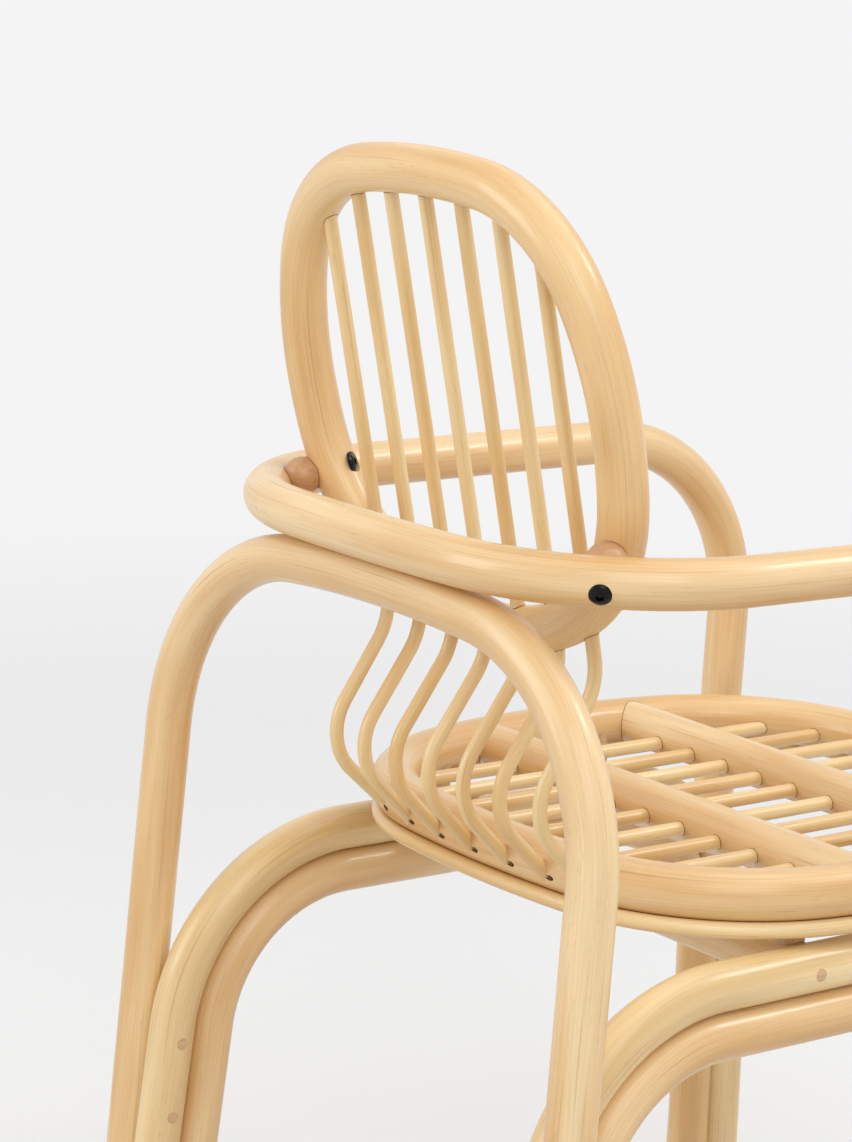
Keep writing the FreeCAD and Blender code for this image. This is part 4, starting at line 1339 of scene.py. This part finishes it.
class BuildStage(bpy.types.Operator):
    """Pale studio floor, soft lamps and the camera at the photograph's view"""

    bl_idname = "chair.stage"
    bl_label = "Stage"

    def execute(self, context):
        self.floor()
        self.lamps()
        self.room()
        self.camera()
        return {"FINISHED"}

    def floor(self):
        reach = 9.0
        corners = [(-reach, -reach, 0), (reach, -reach, 0), (reach, reach, 0), (-reach, reach, 0)]
        mesh = bpy.data.meshes.new("studio_floor")
        mesh.from_pydata(corners, [], [(0, 1, 2, 3)])
        floor = bpy.data.objects.new("studio_floor", mesh)
        bpy.context.scene.collection.objects.link(floor)
        material, tree = new_material("matt_painted_floor")
        place = add(tree, "ShaderNodeTexCoord").outputs["Object"]
        # Rolled paint has a faint mottle of about 40 mm.
        mottle = add(tree, "ShaderNodeTexNoise", {"Vector": place, "Scale": 1 / 0.04, "Detail": 2.0})
        matt = {"Value": mottle.outputs["Fac"], "To Min": 0.85, "To Max": 0.95}
        rough = add(tree, "ShaderNodeMapRange", matt)
        paint = add(
            tree,
            "ShaderNodeMix",
            {0: in_sight(tree), 6: linear(tones().floor_return), 7: linear(tones().floor)},
            data_type="RGBA",
        )
        surface = add(
            tree,
            "ShaderNodeBsdfPrincipled",
            {"Base Color": paint.outputs[2], "Roughness": rough.outputs[0], "Specular IOR Level": 0.1},
        )
        # From 1.2 m to 3.4 m from the chair the floor gives way to the pale surround.
        away = add(tree, "ShaderNodeVectorMath", {0: place}, operation="LENGTH")
        fade = add(
            tree,
            "ShaderNodeMapRange",
            {"Value": away.outputs["Value"], "From Min": 1.2, "From Max": 3.4},
            interpolation_type="SMOOTHSTEP",
        )
        clear = add(tree, "ShaderNodeBsdfTransparent")
        ways = {0: fade.outputs[0], 1: surface.outputs[0], 2: clear.outputs[0]}
        mixed = add(tree, "ShaderNodeMixShader", ways)
        add(tree, "ShaderNodeOutputMaterial", {"Surface": mixed.outputs[0]})
        mesh.materials.append(material)

    def lamps(self):
        # Place, aim, width and power of each soft box.
        boxes = (
            ("overhead_box", (-0.4, -0.8, 3.3), (0, 0, 0.5), 2.2, 18),
            ("side_box", (-2.4, 1.2, 2.6), (0, 0, 0.5), 2.0, 28),
            ("rear_box", (1.3, 3.0, 1.7), (0, 0, 0.5), 1.6, 30),
            ("front_box", (-1.1, -1.76, 2.6), (-0.25, 0.08, 0.66), 0.6, 14),
        )
        for name, place, aim, width, power in boxes:
            lamp = bpy.data.lights.new(name, "AREA")
            lamp.size = width
            lamp.energy = power
            thing = bpy.data.objects.new(name, lamp)
            thing.location = place
            thing.rotation_euler = (Vector(aim) - Vector(place)).to_track_quat("-Z", "Y").to_euler()
            bpy.context.scene.collection.objects.link(thing)

    def room(self):
        world = bpy.data.worlds.new("studio")
        world.use_nodes = True
        tree = world.node_tree
        tree.nodes.clear()
        # The room is brighter above than at the floor; the camera sees its pale surround.
        place = add(tree, "ShaderNodeTexCoord").outputs["Generated"]
        height = add(tree, "ShaderNodeSeparateXYZ", {0: place}).outputs["Z"]
        level = add(
            tree,
            "ShaderNodeMapRange",
            {"Value": height, "From Min": -0.4, "From Max": 0.3, "To Min": 0.58, "To Max": 0.8},
        )
        light = add(tree, "ShaderNodeBackground", {"Color": WHITE, "Strength": level.outputs[0]})
        surround = add(tree, "ShaderNodeBackground", {"Color": linear(tones().surround), "Strength": 1.0})
        views = {0: in_sight(tree), 1: light.outputs[0], 2: surround.outputs[0]}
        mixed = add(tree, "ShaderNodeMixShader", views)
        add(tree, "ShaderNodeOutputWorld", {"Surface": mixed.outputs[0]})
        bpy.context.scene.world = world

    def camera(self):
        # The view was measured in the photograph: 852 by 1142 pixels.
        image_h = 1142
        focal_px = 3325.2
        centre_off_px = (1.3, -13.4)
        stand = (-1.68528, 1.45074, 1.03886)
        yaw = math.radians(53.505)
        dip = math.radians(11.336)
        roll = math.radians(2.154)
        ahead = Vector((math.sin(yaw) * math.cos(dip), -math.cos(yaw) * math.cos(dip), -math.sin(dip)))
        right = ahead.cross(Vector((0, 0, 1))).normalized()
        up = right.cross(ahead)
        rolled_right = right * math.cos(roll) + up * math.sin(roll)
        rolled_up = up * math.cos(roll) - right * math.sin(roll)
        camera = bpy.data.cameras.new("photo_view")
        camera.sensor_fit = "VERTICAL"
        camera.sensor_height = 24.0
        camera.lens = focal_px * camera.sensor_height / image_h
        camera.shift_x = centre_off_px[0] / image_h
        camera.shift_y = centre_off_px[1] / image_h
        camera.clip_end = 100
        thing = bpy.data.objects.new("photo_view", camera)
        turn = Matrix((rolled_right, rolled_up, -ahead)).transposed().to_4x4()
        thing.matrix_world = Matrix.Translation(stand) @ turn
        bpy.context.scene.collection.objects.link(thing)
        bpy.context.scene.camera = thing
        bpy.context.scene.view_settings.view_transform = "Standard"


class ChairPanel(bpy.types.Panel):
    """The steps that build the chair"""

    bl_idname = "VIEW3D_PT_chair"
    bl_label = "Rattan armchair"
    bl_space_type = "VIEW_3D"
    bl_region_type = "UI"
    bl_category = "Chair"

    def draw(self, context):
        for step in STEPS:
            self.layout.operator(step.bl_idname)


STEPS = (
    BuildSeatRing,
    BuildSeatCanes,
    BuildArmLoop,
    BuildRearFrame,
    BuildSideArches,
    BuildBearers,
    BuildBackHoop,
    BuildFittings,
    BuildPlugs,
    BuildJointLines,
    BuildStage,
)
CLASSES = (ChairSizes, ChairTones) + STEPS + (ChairPanel,)


def register():
    for kind in CLASSES:
        bpy.utils.register_class(kind)
    bpy.types.Scene.chair_sizes = PointerProperty(type=ChairSizes)
    bpy.types.Scene.chair_tones = PointerProperty(type=ChairTones)


def unregister():
    del bpy.types.Scene.chair_sizes
    del bpy.types.Scene.chair_tones
    for kind in reversed(CLASSES):
        bpy.utils.unregister_class(kind)


def main():
    register()
    bpy.ops.chair.seat_ring()
    bpy.ops.chair.seat_canes()
    bpy.ops.chair.arm_loop()
    bpy.ops.chair.rear_frame()
    bpy.ops.chair.side_arches()
    bpy.ops.chair.bearers()
    bpy.ops.chair.back_hoop()
    bpy.ops.chair.fittings()
    bpy.ops.chair.plugs()
    bpy.ops.chair.joint_lines()
    bpy.ops.chair.stage()


if __name__ == "__main__":
    main()
